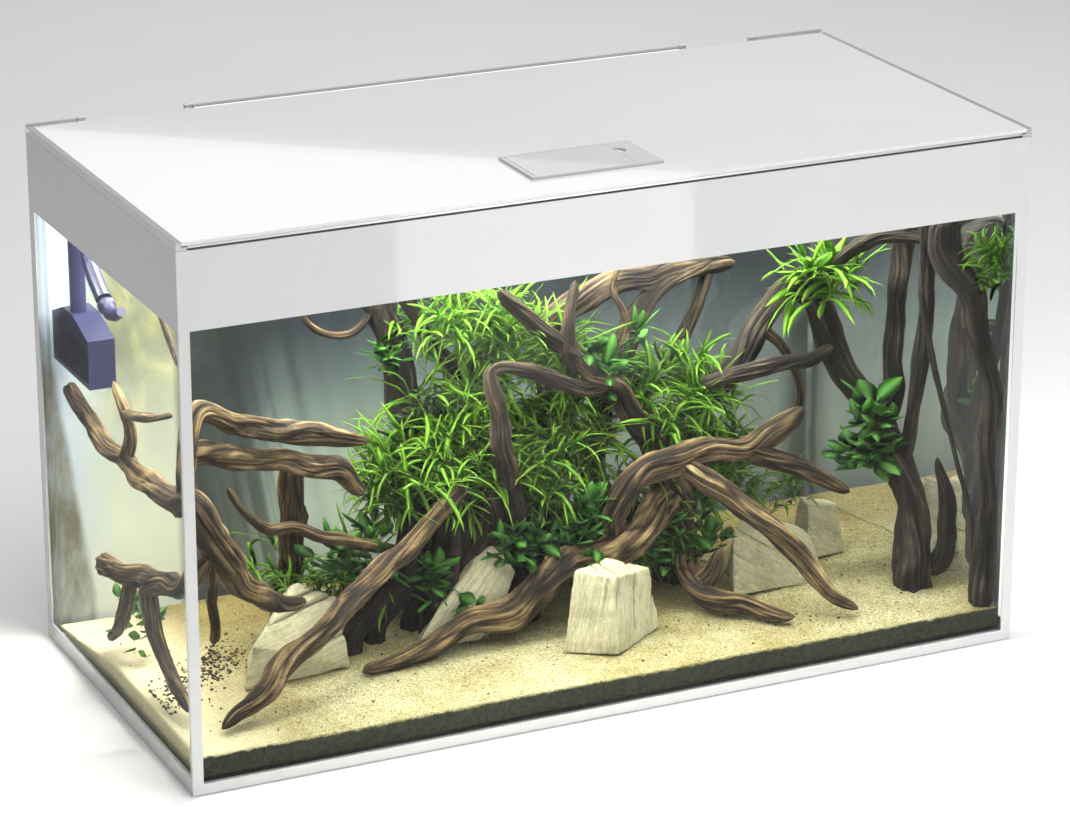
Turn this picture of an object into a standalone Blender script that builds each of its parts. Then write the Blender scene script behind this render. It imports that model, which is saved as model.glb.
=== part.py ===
"""Glass aquarium with a hinged glass lid, lamp bars, a feeding hatch, filter fittings and a hardscape.

Metres, +Z up. The origin is on the floor under the middle of the tank, the front window faces -Y.
"""
import math

import bmesh
import bpy
from mathutils import Vector

# Driving dimensions
WIDTH = 1.000
DEPTH = 0.480
LID_TOP = 0.610
RIM = 0.6005            # top of the panes and of the lacquered borders
GLASS = 0.008
SHEET = 0.002           # lacquered border sheets and rear panel
BOTTOM = 0.010
GAP = 0.0003            # joint between neighbouring pieces
SHEET_FOOT = 0.001      # lower edge of the border sheets and rear panel
BRACE_WIDTH = 0.040
BRACE = (0.586, 0.592)  # underside and top of the glass braces
BEAD_OF_SEAL = 0.003
SEAL_TOP = 0.585

# Windows in the lacquered borders
WINDOW_TOP = 0.515
FRONT_WINDOW_FOOT = 0.0125
SIDE_WINDOW_FOOT = 0.020
FRONT_STILE = 0.0120
SIDE_FRONT_STILE = 0.006
SIDE_REAR_STILE = 0.016

# Lid and rim
LID_GLASS = 0.004
TRIM = 0.006            # visible width of the side trims
LEDGE = 0.006           # how far the lid rests on them
LID_EDGE = WIDTH / 2 - TRIM - GAP
LID_REAR = 0.2285
LID_HOLE = (-0.070, 0.034, -0.178, -0.115)
STRIP_BACK = -0.225     # rear edge of the strip under the lid's front edge
STRIP_HEIGHT = 0.0026
HINGE_Y = 0.2350
HINGE_Z = 0.6072
BEAD = 0.0021
GROOVE = 0.0025
RAIL_FRONT = 0.2302
RAIL_TOP = 0.6115
RAIL_LIP = 0.6035       # top of the rail in front of the hinge groove
RAIL_CREST = 0.2365     # front edge of the rail's top
LEDGE_HEIGHT = 0.004
WING_FRONT = 0.205      # front edge of the hinge profile's flat wing
WING_FOOT = 0.6042
WING_TOP = 0.6080
CUT_OUTS = ((-0.431, -0.315), (0.317, 0.400))
CAP_WIDTH = 0.010
CAP_TOP = 0.613

# Feeding hatch
HATCH = (-0.083, 0.072, -0.190, -0.103)
FLAP = (-0.079, 0.0425, -0.186, -0.107)
FLAP_AXIS = (-0.0772, -0.1465, 0.6118)
FLAP_HINGE_GAP = 0.0008
HATCH_FOOT = LID_TOP + GAP
HATCH_TOP = 0.613
NOTCH_RADIUS = 0.012
NOTCH_Y = -0.1325
SOFT_EDGE = 0.0005

# Lamps
LAMP_HALF_LENGTH = 0.445
LAMP_ROWS = (("front", -0.060), ("rear", 0.100))
LAMP_WIDTH = 0.030
LAMP_TOP = 0.5980
LAMP_FOOT = 0.5850
LAMP_LIP = 0.003
LAMP_SHOULDER = (0.006, 0.004)
LENS_SEAT = 0.005       # height of the lens's flat top above the lamp's foot
LENS_DROP = 0.006
BRACKET_X = 0.400
BRACKET_HALF = 0.008
BRACKET_REACH = 0.006   # beyond the lamps' sides

# Filter fittings
PIPE_X = -0.4755
PIPE = 0.0090
INTAKE_Y = 0.155
OUTLET_Y = 0.115
NOZZLE_AXIS = (PIPE_X, 0.056, 0.4520)
PIPE_TOP = 0.560
STRAINER_X = (-0.4870, -0.4560)
STRAINER_Y = (0.092, 0.214)
STRAINER_Z = (0.3450, 0.3960)
STRAINER_END = 0.004    # solid wall beyond the last slots
SLOTS = 15
SLOT_Z = (0.3500, 0.3900)
SLOT_SHARE = 0.22       # half a slot's width, as a share of the pitch
SLOT_DEPTH = 0.004
SLOT_OVERCUT = 0.001
CAP_EAVES = 0.4010
CAP_RIDGE = 0.4170
CUP_Z = 0.535
CUP_WIDE = 0.012
CUP_NARROW = 0.005

# Sand, highest along the front and falling towards the back
SAND_EDGE = 0.005
SAND_TOP = 0.039
SAND_CREST = 0.040
SAND_BACK = 0.015

INNER_X = WIDTH / 2 - SHEET - GAP - GLASS
INNER_Y = DEPTH / 2 - SHEET - GAP - GLASS


def clear_scene():
    for item in list(bpy.data.objects):
        bpy.data.objects.remove(item, do_unlink=True)


def paint(name, color, roughness=0.5, metallic=0.0, transmission=0.0):
    found = bpy.data.materials.get(name)
    if found:
        return found
    material = bpy.data.materials.new(name)
    material.use_nodes = True
    shader = material.node_tree.nodes["Principled BSDF"]
    shader.inputs["Base Color"].default_value = (*color, 1.0)
    shader.inputs["Roughness"].default_value = roughness
    shader.inputs["Metallic"].default_value = metallic
    shader.inputs["Transmission Weight"].default_value = transmission
    return material


def clear_glass():
    return paint("clear_glass", (0.86, 0.93, 0.90), 0.03, transmission=1.0)


def white_lacquer():
    return paint("white_lacquer", (0.80, 0.80, 0.80), 0.08)


def lid_white():
    return paint("lid_white", (0.86, 0.86, 0.86), 0.06)


def anodised():
    return paint("anodised", (0.70, 0.70, 0.71), 0.30, metallic=1.0)


def rear_blue():
    return paint("rear_blue", (0.22, 0.27, 0.29), 0.5)


def silicone():
    return paint("silicone", (0.75, 0.77, 0.77), 0.4)


def opal():
    return paint("opal", (0.92, 0.92, 0.88), 0.4)


def filter_plastic():
    return paint("filter_plastic", (0.035, 0.045, 0.09), 0.35)


def rubber():
    return paint("rubber", (0.05, 0.05, 0.06), 0.7)


def sand():
    return paint("sand", (0.62, 0.53, 0.37), 0.95)


def stone():
    return paint("stone", (0.60, 0.58, 0.50), 0.8)


def driftwood():
    return paint("driftwood", (0.25, 0.16, 0.09), 0.8)


def leaf_green():
    return paint("leaf_green", (0.12, 0.30, 0.06), 0.5)


def add(name, mesh_data, material, smooth_angle=None):
    """Turn a bmesh into a named object whose faces point out."""
    bmesh.ops.recalc_face_normals(mesh_data, faces=mesh_data.faces)
    mesh = bpy.data.meshes.new(name)
    mesh_data.to_mesh(mesh)
    mesh_data.free()
    mesh.materials.append(material)
    if smooth_angle:
        mesh.shade_smooth()
        mesh.set_sharp_from_angle(angle=math.radians(smooth_angle))
    item = bpy.data.objects.new(name, mesh)
    bpy.context.scene.collection.objects.link(item)
    return item


def box(name, x0, x1, y0, y1, z0, z1, material):
    shape = bmesh.new()
    bmesh.ops.create_cube(shape, size=1.0)
    for corner in shape.verts:
        corner.co.x = x1 if corner.co.x > 0 else x0
        corner.co.y = y1 if corner.co.y > 0 else y0
        corner.co.z = z1 if corner.co.z > 0 else z0
    return add(name, shape, material)


def prism(name, outline, axis, start, end, material, smooth_angle=None):
    """Extrude a closed outline along X or Y. The outline gives the other two coordinates in order."""
    shape = bmesh.new()
    ends = []
    for place in (start, end):
        if axis == "x":
            ring = [shape.verts.new((place, a, b)) for a, b in outline]
        else:
            ring = [shape.verts.new((a, place, b)) for a, b in outline]
        ends.append(ring)
    count = len(outline)
    for index in range(count):
        following = (index + 1) % count
        shape.faces.new((ends[0][index], ends[0][following], ends[1][following], ends[1][index]))
    shape.faces.new(ends[0])
    shape.faces.new(ends[1])
    return add(name, shape, material, smooth_angle)


def windowed_plate(name, outer, inner, low, high, plane, material):
    """A flat plate with one rectangular window. outer and inner are (a0, a1, b0, b1) in the plane."""
    place = {
        "xy": lambda a, b, c: (a, b, c),
        "xz": lambda a, b, c: (a, c, b),
        "yz": lambda a, b, c: (c, a, b),
    }[plane]
    shape = bmesh.new()
    rings = []
    for a0, a1, b0, b1 in (outer, inner):
        for c in (low, high):
            corners = ((a0, b0), (a1, b0), (a1, b1), (a0, b1))
            rings.append([shape.verts.new(place(a, b, c)) for a, b in corners])
    outer_low, outer_high, inner_low, inner_high = rings
    pairs = ((outer_low, outer_high), (outer_high, inner_high), (inner_high, inner_low), (inner_low, outer_low))
    for first, second in pairs:
        for index in range(4):
            following = (index + 1) % 4
            shape.faces.new((first[index], first[following], second[following], second[index]))
    return add(name, shape, material)


def smooth_path(points, step):
    """Points of a Catmull-Rom curve through the given points, each (x, y, z, radius)."""
    knots = [Vector(point) for point in points]
    knots = [2 * knots[0] - knots[1]] + knots + [2 * knots[-1] - knots[-2]]
    path = []
    for index in range(1, len(knots) - 2):
        before, start, end, after = knots[index - 1:index + 3]
        count = max(1, round((end.xyz - start.xyz).length / step))
        for part in range(count):
            t = part / count
            path.append(0.5 * (
                2 * start + (end - before) * t
                + (2 * before - 5 * start + 4 * end - after) * t ** 2
                + (3 * start - before - 3 * end + after) * t ** 3))
    path.append(knots[-2])
    return path


def tube(name, points, sides, material, step=0.03, smooth_angle=40):
    """A closed tube whose radius follows the fourth coordinate of its points."""
    path = smooth_path(points, step)
    shape = bmesh.new()
    rings = []
    side = None
    for index, point in enumerate(path):
        ahead = path[min(index + 1, len(path) - 1)].xyz
        behind = path[max(index - 1, 0)].xyz
        along = (ahead - behind).normalized()
        if side is None:
            side = along.orthogonal().normalized()
        side = (side - along * side.dot(along)).normalized()
        across = along.cross(side)
        ring = []
        for turn in range(sides):
            angle = math.tau * turn / sides
            offset = (side * math.cos(angle) + across * math.sin(angle)) * point.w
            ring.append(shape.verts.new(point.xyz + offset))
        rings.append(ring)
    for first, second in zip(rings, rings[1:]):
        for index in range(sides):
            following = (index + 1) % sides
            shape.faces.new((first[index], first[following], second[following], second[index]))
    shape.faces.new(rings[0])
    shape.faces.new(rings[-1])
    return add(name, shape, material, smooth_angle)


def combine(body, tools, operation):
    """Cut the tools from the body, or join them to it, and remove them."""
    for tool in tools:
        modifier = body.modifiers.new(operation.lower(), "BOOLEAN")
        modifier.operation = operation
        modifier.object = tool
    bpy.context.view_layer.update()
    evaluated = body.evaluated_get(bpy.context.evaluated_depsgraph_get())
    mesh = bpy.data.meshes.new_from_object(evaluated)
    body.modifiers.clear()
    body.data = mesh
    for tool in tools:
        bpy.data.objects.remove(tool, do_unlink=True)
    return body


def add_bevel(item, width, segments=1):
    modifier = item.modifiers.new("bevel", "BEVEL")
    modifier.width = width
    modifier.segments = segments
    modifier.limit_method = "ANGLE"
    return item


def axis_empty(name, place, parent=None):
    """An empty on a joint's axis. The pieces that move about it are parented to it."""
    empty = bpy.data.objects.new(name, None)
    empty.empty_display_size = 0.02
    bpy.context.scene.collection.objects.link(empty)
    empty.location = place
    if parent:
        hang(empty, parent)
    return empty


def hang(item, parent):
    bpy.context.view_layer.update()
    item.parent = parent
    item.matrix_parent_inverse = parent.matrix_world.inverted()


# Tank

def make_panes():
    half_x = WIDTH / 2 - SHEET - GAP
    half_y = DEPTH / 2 - SHEET - GAP
    glass = clear_glass()
    box("front_pane", -half_x, half_x, -half_y, -INNER_Y, 0.0, RIM, glass)
    box("back_pane", -half_x, half_x, INNER_Y, half_y, 0.0, RIM, glass)
    reach = INNER_Y - GAP
    box("left_pane", -half_x, -INNER_X, -reach, reach, 0.0, RIM, glass)
    box("right_pane", INNER_X, half_x, -reach, reach, 0.0, RIM, glass)
    floor = INNER_X - GAP
    box("bottom_pane", -floor, floor, -reach, reach, 0.0, BOTTOM, glass)


def make_borders():
    """Lacquered border sheets around the three windows, and the panel behind the back pane."""
    front = -DEPTH / 2
    windowed_plate(
        "front_frame", (-WIDTH / 2, WIDTH / 2, SHEET_FOOT, RIM),
        (-WIDTH / 2 + FRONT_STILE, WIDTH / 2 - FRONT_STILE, FRONT_WINDOW_FOOT, WINDOW_TOP),
        front, front + SHEET, "xz", white_lacquer())
    side = (front + SHEET + GAP, DEPTH / 2, SHEET_FOOT, RIM)
    window = (front + SIDE_FRONT_STILE, DEPTH / 2 - SIDE_REAR_STILE, SIDE_WINDOW_FOOT, WINDOW_TOP)
    edge = WIDTH / 2
    windowed_plate("left_frame", side, window, -edge, -edge + SHEET, "yz", white_lacquer())
    windowed_plate("right_frame", side, window, edge - SHEET, edge, "yz", white_lacquer())
    panel = edge - SHEET - GAP
    box("rear_panel", -panel, panel, DEPTH / 2 - SHEET, DEPTH / 2, SHEET_FOOT, RIM, rear_blue())


def make_seal():
    """Silicone bead along the foot of the panes and up the four corners, in one piece."""
    bead = BEAD_OF_SEAL
    out_x = INNER_X - GAP
    out_y = INNER_Y - GAP
    low = BOTTOM + GAP
    seal = windowed_plate(
        "silicone_seal", (-out_x, out_x, -out_y, out_y),
        (-out_x + bead, out_x - bead, -out_y + bead, out_y - bead), low, low + bead, "xy", silicone())
    posts = []
    for x in (-out_x, out_x - bead):
        for y in (-out_y, out_y - bead):
            posts.append(box("post", x, x + bead, y, y + bead, low + bead / 2, SEAL_TOP, silicone()))
    combine(seal, posts, "UNION")


def make_braces():
    """Glass strips along the front and back panes, under the lid."""
    out_x = INNER_X - GAP
    out_y = INNER_Y - GAP
    for name, low in (("front_brace", -out_y), ("rear_brace", out_y - BRACE_WIDTH)):
        box(name, -out_x, out_x, low, low + BRACE_WIDTH, *BRACE, clear_glass())


def make_rim():
    """Side trims that carry the lid, and the rear rail with its two hose cut-outs."""
    foot = RIM + GAP
    edge = WIDTH / 2
    for name, sign in (("left_trim", -1), ("right_trim", 1)):
        outline = (
            (sign * edge, foot), (sign * edge, LID_TOP), (sign * (edge - TRIM), LID_TOP),
            (sign * (edge - TRIM), foot + LEDGE_HEIGHT),
            (sign * (edge - TRIM - LEDGE), foot + LEDGE_HEIGHT),
            (sign * (edge - TRIM - LEDGE), foot))
        prism(name, outline, "y", -DEPTH / 2, RAIL_FRONT - GAP, anodised())
    groove = []
    for step in range(9):
        angle = math.radians(60 - 190 * step / 8)
        groove.append((HINGE_Y + GROOVE * math.cos(angle), HINGE_Z + GROOVE * math.sin(angle)))
    back = DEPTH / 2
    outline = [(RAIL_FRONT, foot), (back, foot), (back, RAIL_TOP), (RAIL_CREST, RAIL_TOP)]
    outline += groove + [(RAIL_FRONT, RAIL_LIP)]
    (left_a, left_b), (right_a, right_b) = CUT_OUTS
    reach = CAP_WIDTH + GAP
    prism("rear_rail_left", outline, "x", -edge, left_a - reach, anodised(), 40)
    prism("rear_rail_middle", outline, "x", left_b + reach, right_a - reach, anodised(), 40)
    prism("rear_rail_right", outline, "x", right_b + reach, edge, anodised(), 40)
    places = (("1", left_a - CAP_WIDTH), ("2", left_b), ("3", right_a - CAP_WIDTH), ("4", right_b))
    for number, x in places:
        cap = box("rail_cap_" + number, x, x + CAP_WIDTH, RAIL_CREST + 0.0001, back, foot, CAP_TOP, anodised())
        add_bevel(cap, SOFT_EDGE)


# Lid

def make_lid(axis):
    panel = windowed_plate(
        "lid_panel", (-LID_EDGE, LID_EDGE, -DEPTH / 2, LID_REAR), LID_HOLE,
        LID_TOP - LID_GLASS, LID_TOP, "xy", lid_white())
    under = LID_TOP - LID_GLASS - GAP
    grip = LID_EDGE - LEDGE - GAP
    strip = box(
        "lid_front_strip", -grip, grip, -DEPTH / 2, STRIP_BACK, under - STRIP_HEIGHT, under, anodised())
    bead = []
    for step in range(13):
        angle = math.radians(-145 + 310 * step / 12)
        bead.append((HINGE_Y + BEAD * math.cos(angle), HINGE_Z + BEAD * math.sin(angle)))
    neck = LID_REAR + SOFT_EDGE
    outline = [(WING_FRONT, WING_FOOT), (LID_REAR, WING_FOOT)] + bead
    outline += [(neck, WING_TOP), (neck, under), (WING_FRONT, under)]
    middle_a = CUT_OUTS[0][1] + CAP_WIDTH + 2 * GAP
    middle_b = CUT_OUTS[1][0] - CAP_WIDTH - 2 * GAP
    hinge = prism("lid_hinge_profile", outline, "x", middle_a, middle_b, anodised(), 40)
    for item in (panel, strip, hinge):
        hang(item, axis)


def make_hatch(lid_axis, flap_axis):
    """Raised bezel around the feeding flap, with a half-moon finger recess beside it."""
    bezel = windowed_plate(
        "feeder_bezel", HATCH, FLAP, HATCH_FOOT, HATCH_TOP, "xy", lid_white())
    shape = bmesh.new()
    bmesh.ops.create_cone(shape, cap_ends=True, segments=32, radius1=NOTCH_RADIUS, radius2=NOTCH_RADIUS, depth=0.01)
    notch = add("notch", shape, lid_white())
    notch.location = (FLAP[1] - 0.001, NOTCH_Y, HATCH_TOP)
    combine(bezel, [notch], "DIFFERENCE")
    add_bevel(bezel, SOFT_EDGE)
    hang(bezel, lid_axis)
    x0, x1, y0, y1 = FLAP
    flap = box(
        "feeder_flap", x0 + FLAP_HINGE_GAP, x1 - GAP, y0 + GAP, y1 - GAP, HATCH_FOOT + GAP, HATCH_TOP, lid_white())
    add_bevel(flap, SOFT_EDGE)
    hang(flap, flap_axis)


def make_lamps(axis):
    """Two lamp bars with opal lenses, carried under the lid by two cross brackets."""
    half = LAMP_WIDTH / 2
    lip = LAMP_LIP
    inset, drop = LAMP_SHOULDER
    seat = LAMP_FOOT + LENS_SEAT
    for row, y in LAMP_ROWS:
        outline = (
            (y - half, LAMP_FOOT), (y - half, LAMP_TOP - drop), (y - half + inset, LAMP_TOP),
            (y + half - inset, LAMP_TOP), (y + half, LAMP_TOP - drop), (y + half, LAMP_FOOT),
            (y + half - lip, LAMP_FOOT), (y + half - lip, seat),
            (y - half + lip, seat), (y - half + lip, LAMP_FOOT))
        housing = prism(
            "lamp_housing_" + row, outline, "x", -LAMP_HALF_LENGTH, LAMP_HALF_LENGTH, anodised())
        inside = half - lip - GAP
        lens_outline = [(y + inside, seat - GAP), (y - inside, seat - GAP)]
        for step in range(7):
            angle = math.pi * (1 + step / 6)
            lens_outline.append((y + inside * math.cos(angle), LAMP_FOOT + LENS_DROP * math.sin(angle)))
        lens = prism(
            "lamp_lens_" + row, lens_outline, "x", -LAMP_HALF_LENGTH, LAMP_HALF_LENGTH, opal(), 40)
        for item in (housing, lens):
            hang(item, axis)
    top = LID_TOP - LID_GLASS - GAP
    reach = half + BRACKET_REACH
    for name, x in (("lamp_bracket_left", -BRACKET_X), ("lamp_bracket_right", BRACKET_X)):
        bracket = box(
            name, x - BRACKET_HALF, x + BRACKET_HALF, LAMP_ROWS[0][1] - reach, LAMP_ROWS[1][1] + reach,
            LAMP_TOP + GAP, top, opal())
        hang(bracket, axis)


# Filter fittings

def make_intake():
    middle = (PIPE_TOP + CAP_RIDGE) / 2
    tube("intake_pipe", [
        (PIPE_X, INTAKE_Y, PIPE_TOP, PIPE), (PIPE_X, INTAKE_Y, middle, PIPE),
        (PIPE_X, INTAKE_Y, CAP_RIDGE + GAP, PIPE)], 16, filter_plastic(), 0.1)
    x0, x1 = STRAINER_X
    y0, y1 = STRAINER_Y
    basket = box("intake_strainer", x0, x1, y0, y1, *STRAINER_Z, filter_plastic())
    slots = []
    pitch = (y1 - y0 - 2 * STRAINER_END) / SLOTS
    for index in range(SLOTS):
        y = y0 + STRAINER_END + pitch * (index + 0.5)
        half = pitch * SLOT_SHARE
        for side_a, side_b in ((x0 - SLOT_OVERCUT, x0 + SLOT_DEPTH), (x1 - SLOT_DEPTH, x1 + SLOT_OVERCUT)):
            slots.append(box("slot", side_a, side_b, y - half, y + half, *SLOT_Z, filter_plastic()))
    combine(basket, slots, "DIFFERENCE")
    foot = STRAINER_Z[1] + GAP
    outline = (
        (y0, foot), (y1, foot), (y1, CAP_EAVES), (INTAKE_Y + 0.020, CAP_RIDGE),
        (INTAKE_Y - 0.014, CAP_RIDGE), (y0, CAP_EAVES))
    prism("strainer_cap", outline, "x", x0, x1, filter_plastic())


def make_outlet(axis):
    tube("outlet_pipe", [
        (PIPE_X, OUTLET_Y, PIPE_TOP, PIPE), (PIPE_X, OUTLET_Y, 0.505, PIPE),
        (PIPE_X, OUTLET_Y - 0.008, 0.484, PIPE), (PIPE_X, OUTLET_Y - 0.045, 0.4595, PIPE),
        (PIPE_X, 0.0655, 0.4570, PIPE)], 16, filter_plastic(), 0.012)
    nozzle = tube("outlet_nozzle", [
        (PIPE_X, 0.0560, 0.4520, 0.0080), (PIPE_X, 0.0420, 0.4480, 0.0085),
        (PIPE_X, 0.0280, 0.4500, 0.0070), (PIPE_X, 0.0080, 0.4600, 0.0055)], 16, filter_plastic(), 0.012)
    hang(nozzle, axis)


def make_suction_cups():
    """Rubber cups between the pipes and the left pane."""
    for name, y in (("suction_cup_intake", INTAKE_Y), ("suction_cup_outlet", OUTLET_Y)):
        shape = bmesh.new()
        depth = INNER_X + PIPE_X - PIPE - 2 * GAP
        bmesh.ops.create_cone(
            shape, cap_ends=True, segments=20, radius1=CUP_WIDE, radius2=CUP_NARROW, depth=depth)
        for corner in shape.verts:
            x, y_local, z = corner.co
            corner.co = (-INNER_X + GAP + depth / 2 + z, y + y_local, CUP_Z + x)
        add(name, shape, rubber(), 40)


# Hardscape. Each branch is a list of (x, y, z, radius).

CENTER_BRANCHES = (
    ((0.190, 0.005, 0.060, 0.024), (0.178, 0.000, 0.177, 0.020), (0.154, 0.000, 0.230, 0.017),
     (0.116, 0.000, 0.275, 0.015), (0.077, 0.000, 0.312, 0.0135), (0.056, 0.000, 0.340, 0.0115),
     (0.051, 0.000, 0.378, 0.0090), (0.063, 0.010, 0.421, 0.0065)),
    ((0.060, 0.001, 0.334, 0.0098), (0.021, 0.000, 0.365, 0.0100), (-0.009, -0.010, 0.399, 0.0089),
     (-0.044, -0.020, 0.433, 0.0078)),
    ((0.098, 0.001, 0.296, 0.0090), (0.061, -0.010, 0.297, 0.0091), (0.005, -0.020, 0.329, 0.0079),
     (-0.052, -0.030, 0.343, 0.0072), (-0.063, -0.035, 0.330, 0.0080), (-0.056, -0.040, 0.294, 0.0100),
     (-0.054, -0.050, 0.263, 0.0112), (-0.046, -0.050, 0.206, 0.0100)),
    ((0.070, -0.062, 0.128, 0.0140), (0.093, -0.060, 0.187, 0.0159), (0.137, -0.060, 0.211, 0.0159),
     (0.188, -0.060, 0.218, 0.0137), (0.246, -0.060, 0.214, 0.0126), (0.285, -0.060, 0.228, 0.0127),
     (0.321, -0.060, 0.252, 0.0092)),
    ((0.250, -0.061, 0.213, 0.0095), (0.300, -0.070, 0.192, 0.0104), (0.341, -0.080, 0.169, 0.0081),
     (0.375, -0.080, 0.146, 0.0047)),
    ((0.165, -0.061, 0.208, 0.0110), (0.212, -0.090, 0.168, 0.0137), (0.249, -0.120, 0.134, 0.0126),
     (0.285, -0.150, 0.090, 0.0103), (0.309, -0.175, 0.062, 0.0080), (0.327, -0.190, 0.048, 0.0046)),
    ((0.188, -0.005, 0.085, 0.0150), (0.170, -0.100, 0.064, 0.0126), (0.207, -0.140, 0.056, 0.0114),
     (0.252, -0.178, 0.048, 0.0057)),
    ((0.174, -0.085, 0.066, 0.0100), (0.180, -0.105, 0.090, 0.0100), (0.192, -0.110, 0.118, 0.0069)),
    ((0.180, -0.005, 0.150, 0.0160), (0.113, -0.060, 0.135, 0.0183), (0.032, -0.070, 0.110, 0.0193),
     (-0.047, -0.080, 0.084, 0.0169), (-0.126, -0.090, 0.062, 0.0145), (-0.191, -0.100, 0.053, 0.0111),
     (-0.254, -0.113, 0.047, 0.0055)),
)

LEFT_LOG = (
    (-0.101, -0.050, 0.220, 0.0078), (-0.152, -0.070, 0.193, 0.0100), (-0.226, -0.100, 0.157, 0.0110),
    (-0.282, -0.120, 0.129, 0.0120), (-0.337, -0.140, 0.100, 0.0130), (-0.394, -0.165, 0.069, 0.0129),
    (-0.448, -0.190, 0.048, 0.0064))

LEFT_BRANCHES = (
    ((-0.476, 0.205, 0.312, 0.0080), (-0.476, 0.100, 0.290, 0.0100), (-0.474, 0.020, 0.284, 0.0110),
     (-0.472, -0.080, 0.286, 0.0130), (-0.470, -0.150, 0.296, 0.0145), (-0.466, -0.190, 0.302, 0.0150),
     (-0.449, -0.180, 0.261, 0.0158), (-0.413, -0.150, 0.200, 0.0149), (-0.365, -0.120, 0.158, 0.0119),
     (-0.311, -0.095, 0.135, 0.0066)),
    ((-0.470, -0.150, 0.298, 0.0100), (-0.470, -0.162, 0.350, 0.0110), (-0.452, -0.150, 0.388, 0.0105),
     (-0.403, -0.120, 0.363, 0.0116), (-0.320, -0.080, 0.327, 0.0129), (-0.250, -0.050, 0.302, 0.0098),
     (-0.206, -0.030, 0.283, 0.0055)),
    ((-0.471, -0.160, 0.352, 0.0100), (-0.404, -0.120, 0.325, 0.0120), (-0.321, -0.080, 0.290, 0.0130),
     (-0.261, -0.060, 0.268, 0.0109), (-0.221, -0.050, 0.232, 0.0055)),
    ((-0.308, -0.076, 0.290, 0.0105), (-0.304, -0.040, 0.233, 0.0143), (-0.287, 0.020, 0.149, 0.0146),
     (-0.275, 0.065, 0.068, 0.0160)),
    ((-0.412, -0.122, 0.328, 0.0060), (-0.391, -0.110, 0.256, 0.0075), (-0.349, -0.090, 0.223, 0.0076),
     (-0.274, -0.060, 0.186, 0.0055)),
    ((-0.440, -0.170, 0.245, 0.0060), (-0.418, -0.100, 0.210, 0.0050), (-0.392, -0.020, 0.122, 0.0055),
     (-0.373, 0.034, 0.046, 0.0056)),
    ((-0.476, 0.110, 0.135, 0.0080), (-0.476, 0.050, 0.147, 0.0110), (-0.474, -0.040, 0.170, 0.0120),
     (-0.470, -0.140, 0.195, 0.0120), (-0.454, -0.180, 0.240, 0.0110)),
    ((-0.475, -0.005, 0.158, 0.0080), (-0.475, 0.055, 0.080, 0.0075), (-0.475, 0.100, 0.046, 0.0060)),
    ((-0.473, -0.045, 0.168, 0.0080), (-0.472, -0.075, 0.090, 0.0080), (-0.468, -0.150, 0.055, 0.0060)),
    ((-0.474, 0.015, 0.288, 0.0060), (-0.475, -0.005, 0.320, 0.0065), (-0.475, 0.010, 0.350, 0.0060),
     (-0.475, 0.045, 0.370, 0.0035)),
    ((-0.475, 0.008, 0.344, 0.0050), (-0.475, -0.060, 0.362, 0.0050), (-0.475, -0.140, 0.390, 0.0035)),
)

RIGHT_BRANCHES = (
    ((0.226, 0.000, 0.256, 0.0115), (0.275, 0.010, 0.300, 0.0150), (0.312, 0.020, 0.338, 0.0151),
     (0.350, 0.028, 0.366, 0.0130), (0.378, 0.020, 0.351, 0.0152), (0.391, 0.010, 0.305, 0.0164),
     (0.411, -0.010, 0.263, 0.0164), (0.436, -0.040, 0.206, 0.0176), (0.436, -0.090, 0.155, 0.0187),
     (0.436, -0.120, 0.090, 0.0199), (0.430, -0.132, 0.056, 0.0200)),
    ((0.208, -0.020, 0.285, 0.0069), (0.253, -0.020, 0.290, 0.0085), (0.305, -0.022, 0.297, 0.0090),
     (0.354, -0.020, 0.295, 0.0085), (0.392, 0.000, 0.298, 0.0070)),
    ((0.432, -0.126, 0.070, 0.0120), (0.458, -0.138, 0.062, 0.0130), (0.472, -0.142, 0.090, 0.0115),
     (0.470, -0.142, 0.140, 0.0085), (0.458, -0.135, 0.195, 0.0046)),
    ((0.436, -0.055, 0.190, 0.0100), (0.444, -0.050, 0.250, 0.0120), (0.444, -0.058, 0.366, 0.0108),
     (0.450, -0.060, 0.440, 0.0095)),
    ((0.438, -0.078, 0.180, 0.0080), (0.448, -0.092, 0.210, 0.0085), (0.436, -0.128, 0.352, 0.0085),
     (0.434, -0.138, 0.455, 0.0080)),
    ((0.374, 0.020, 0.356, 0.0070), (0.401, -0.015, 0.406, 0.0070), (0.422, -0.045, 0.436, 0.0078),
     (0.450, -0.060, 0.448, 0.0075)),
)

DARK_BRANCHES = (
    ((-0.163, 0.080, 0.450, 0.0146), (-0.132, 0.080, 0.350, 0.0181), (-0.118, 0.080, 0.282, 0.0193),
     (-0.099, 0.080, 0.206, 0.0206), (-0.088, 0.065, 0.113, 0.0207), (-0.085, 0.055, 0.062, 0.0200)),
    ((-0.124, 0.072, 0.420, 0.0078), (-0.090, 0.068, 0.349, 0.0085), (-0.062, 0.060, 0.303, 0.0080),
     (-0.092, 0.074, 0.230, 0.0110)),
    ((-0.237, 0.080, 0.397, 0.0050), (-0.201, 0.080, 0.370, 0.0067), (-0.150, 0.080, 0.392, 0.0060)),
)

UPPER_BRANCHES = (
    ((0.112, 0.075, 0.050, 0.0140), (0.115, 0.066, 0.180, 0.0130), (0.125, 0.055, 0.265, 0.0120),
     (0.150, 0.052, 0.313, 0.0115), (0.165, 0.052, 0.349, 0.0115), (0.201, 0.055, 0.385, 0.0115),
     (0.262, 0.058, 0.404, 0.0093)),
    ((0.030, 0.060, 0.349, 0.0130), (0.119, 0.060, 0.384, 0.0138), (0.182, 0.060, 0.395, 0.0138),
     (0.293, 0.060, 0.397, 0.0110)),
    ((0.222, 0.060, 0.311, 0.0060), (0.245, 0.060, 0.357, 0.0070), (0.262, 0.060, 0.398, 0.0070)),
)

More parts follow.
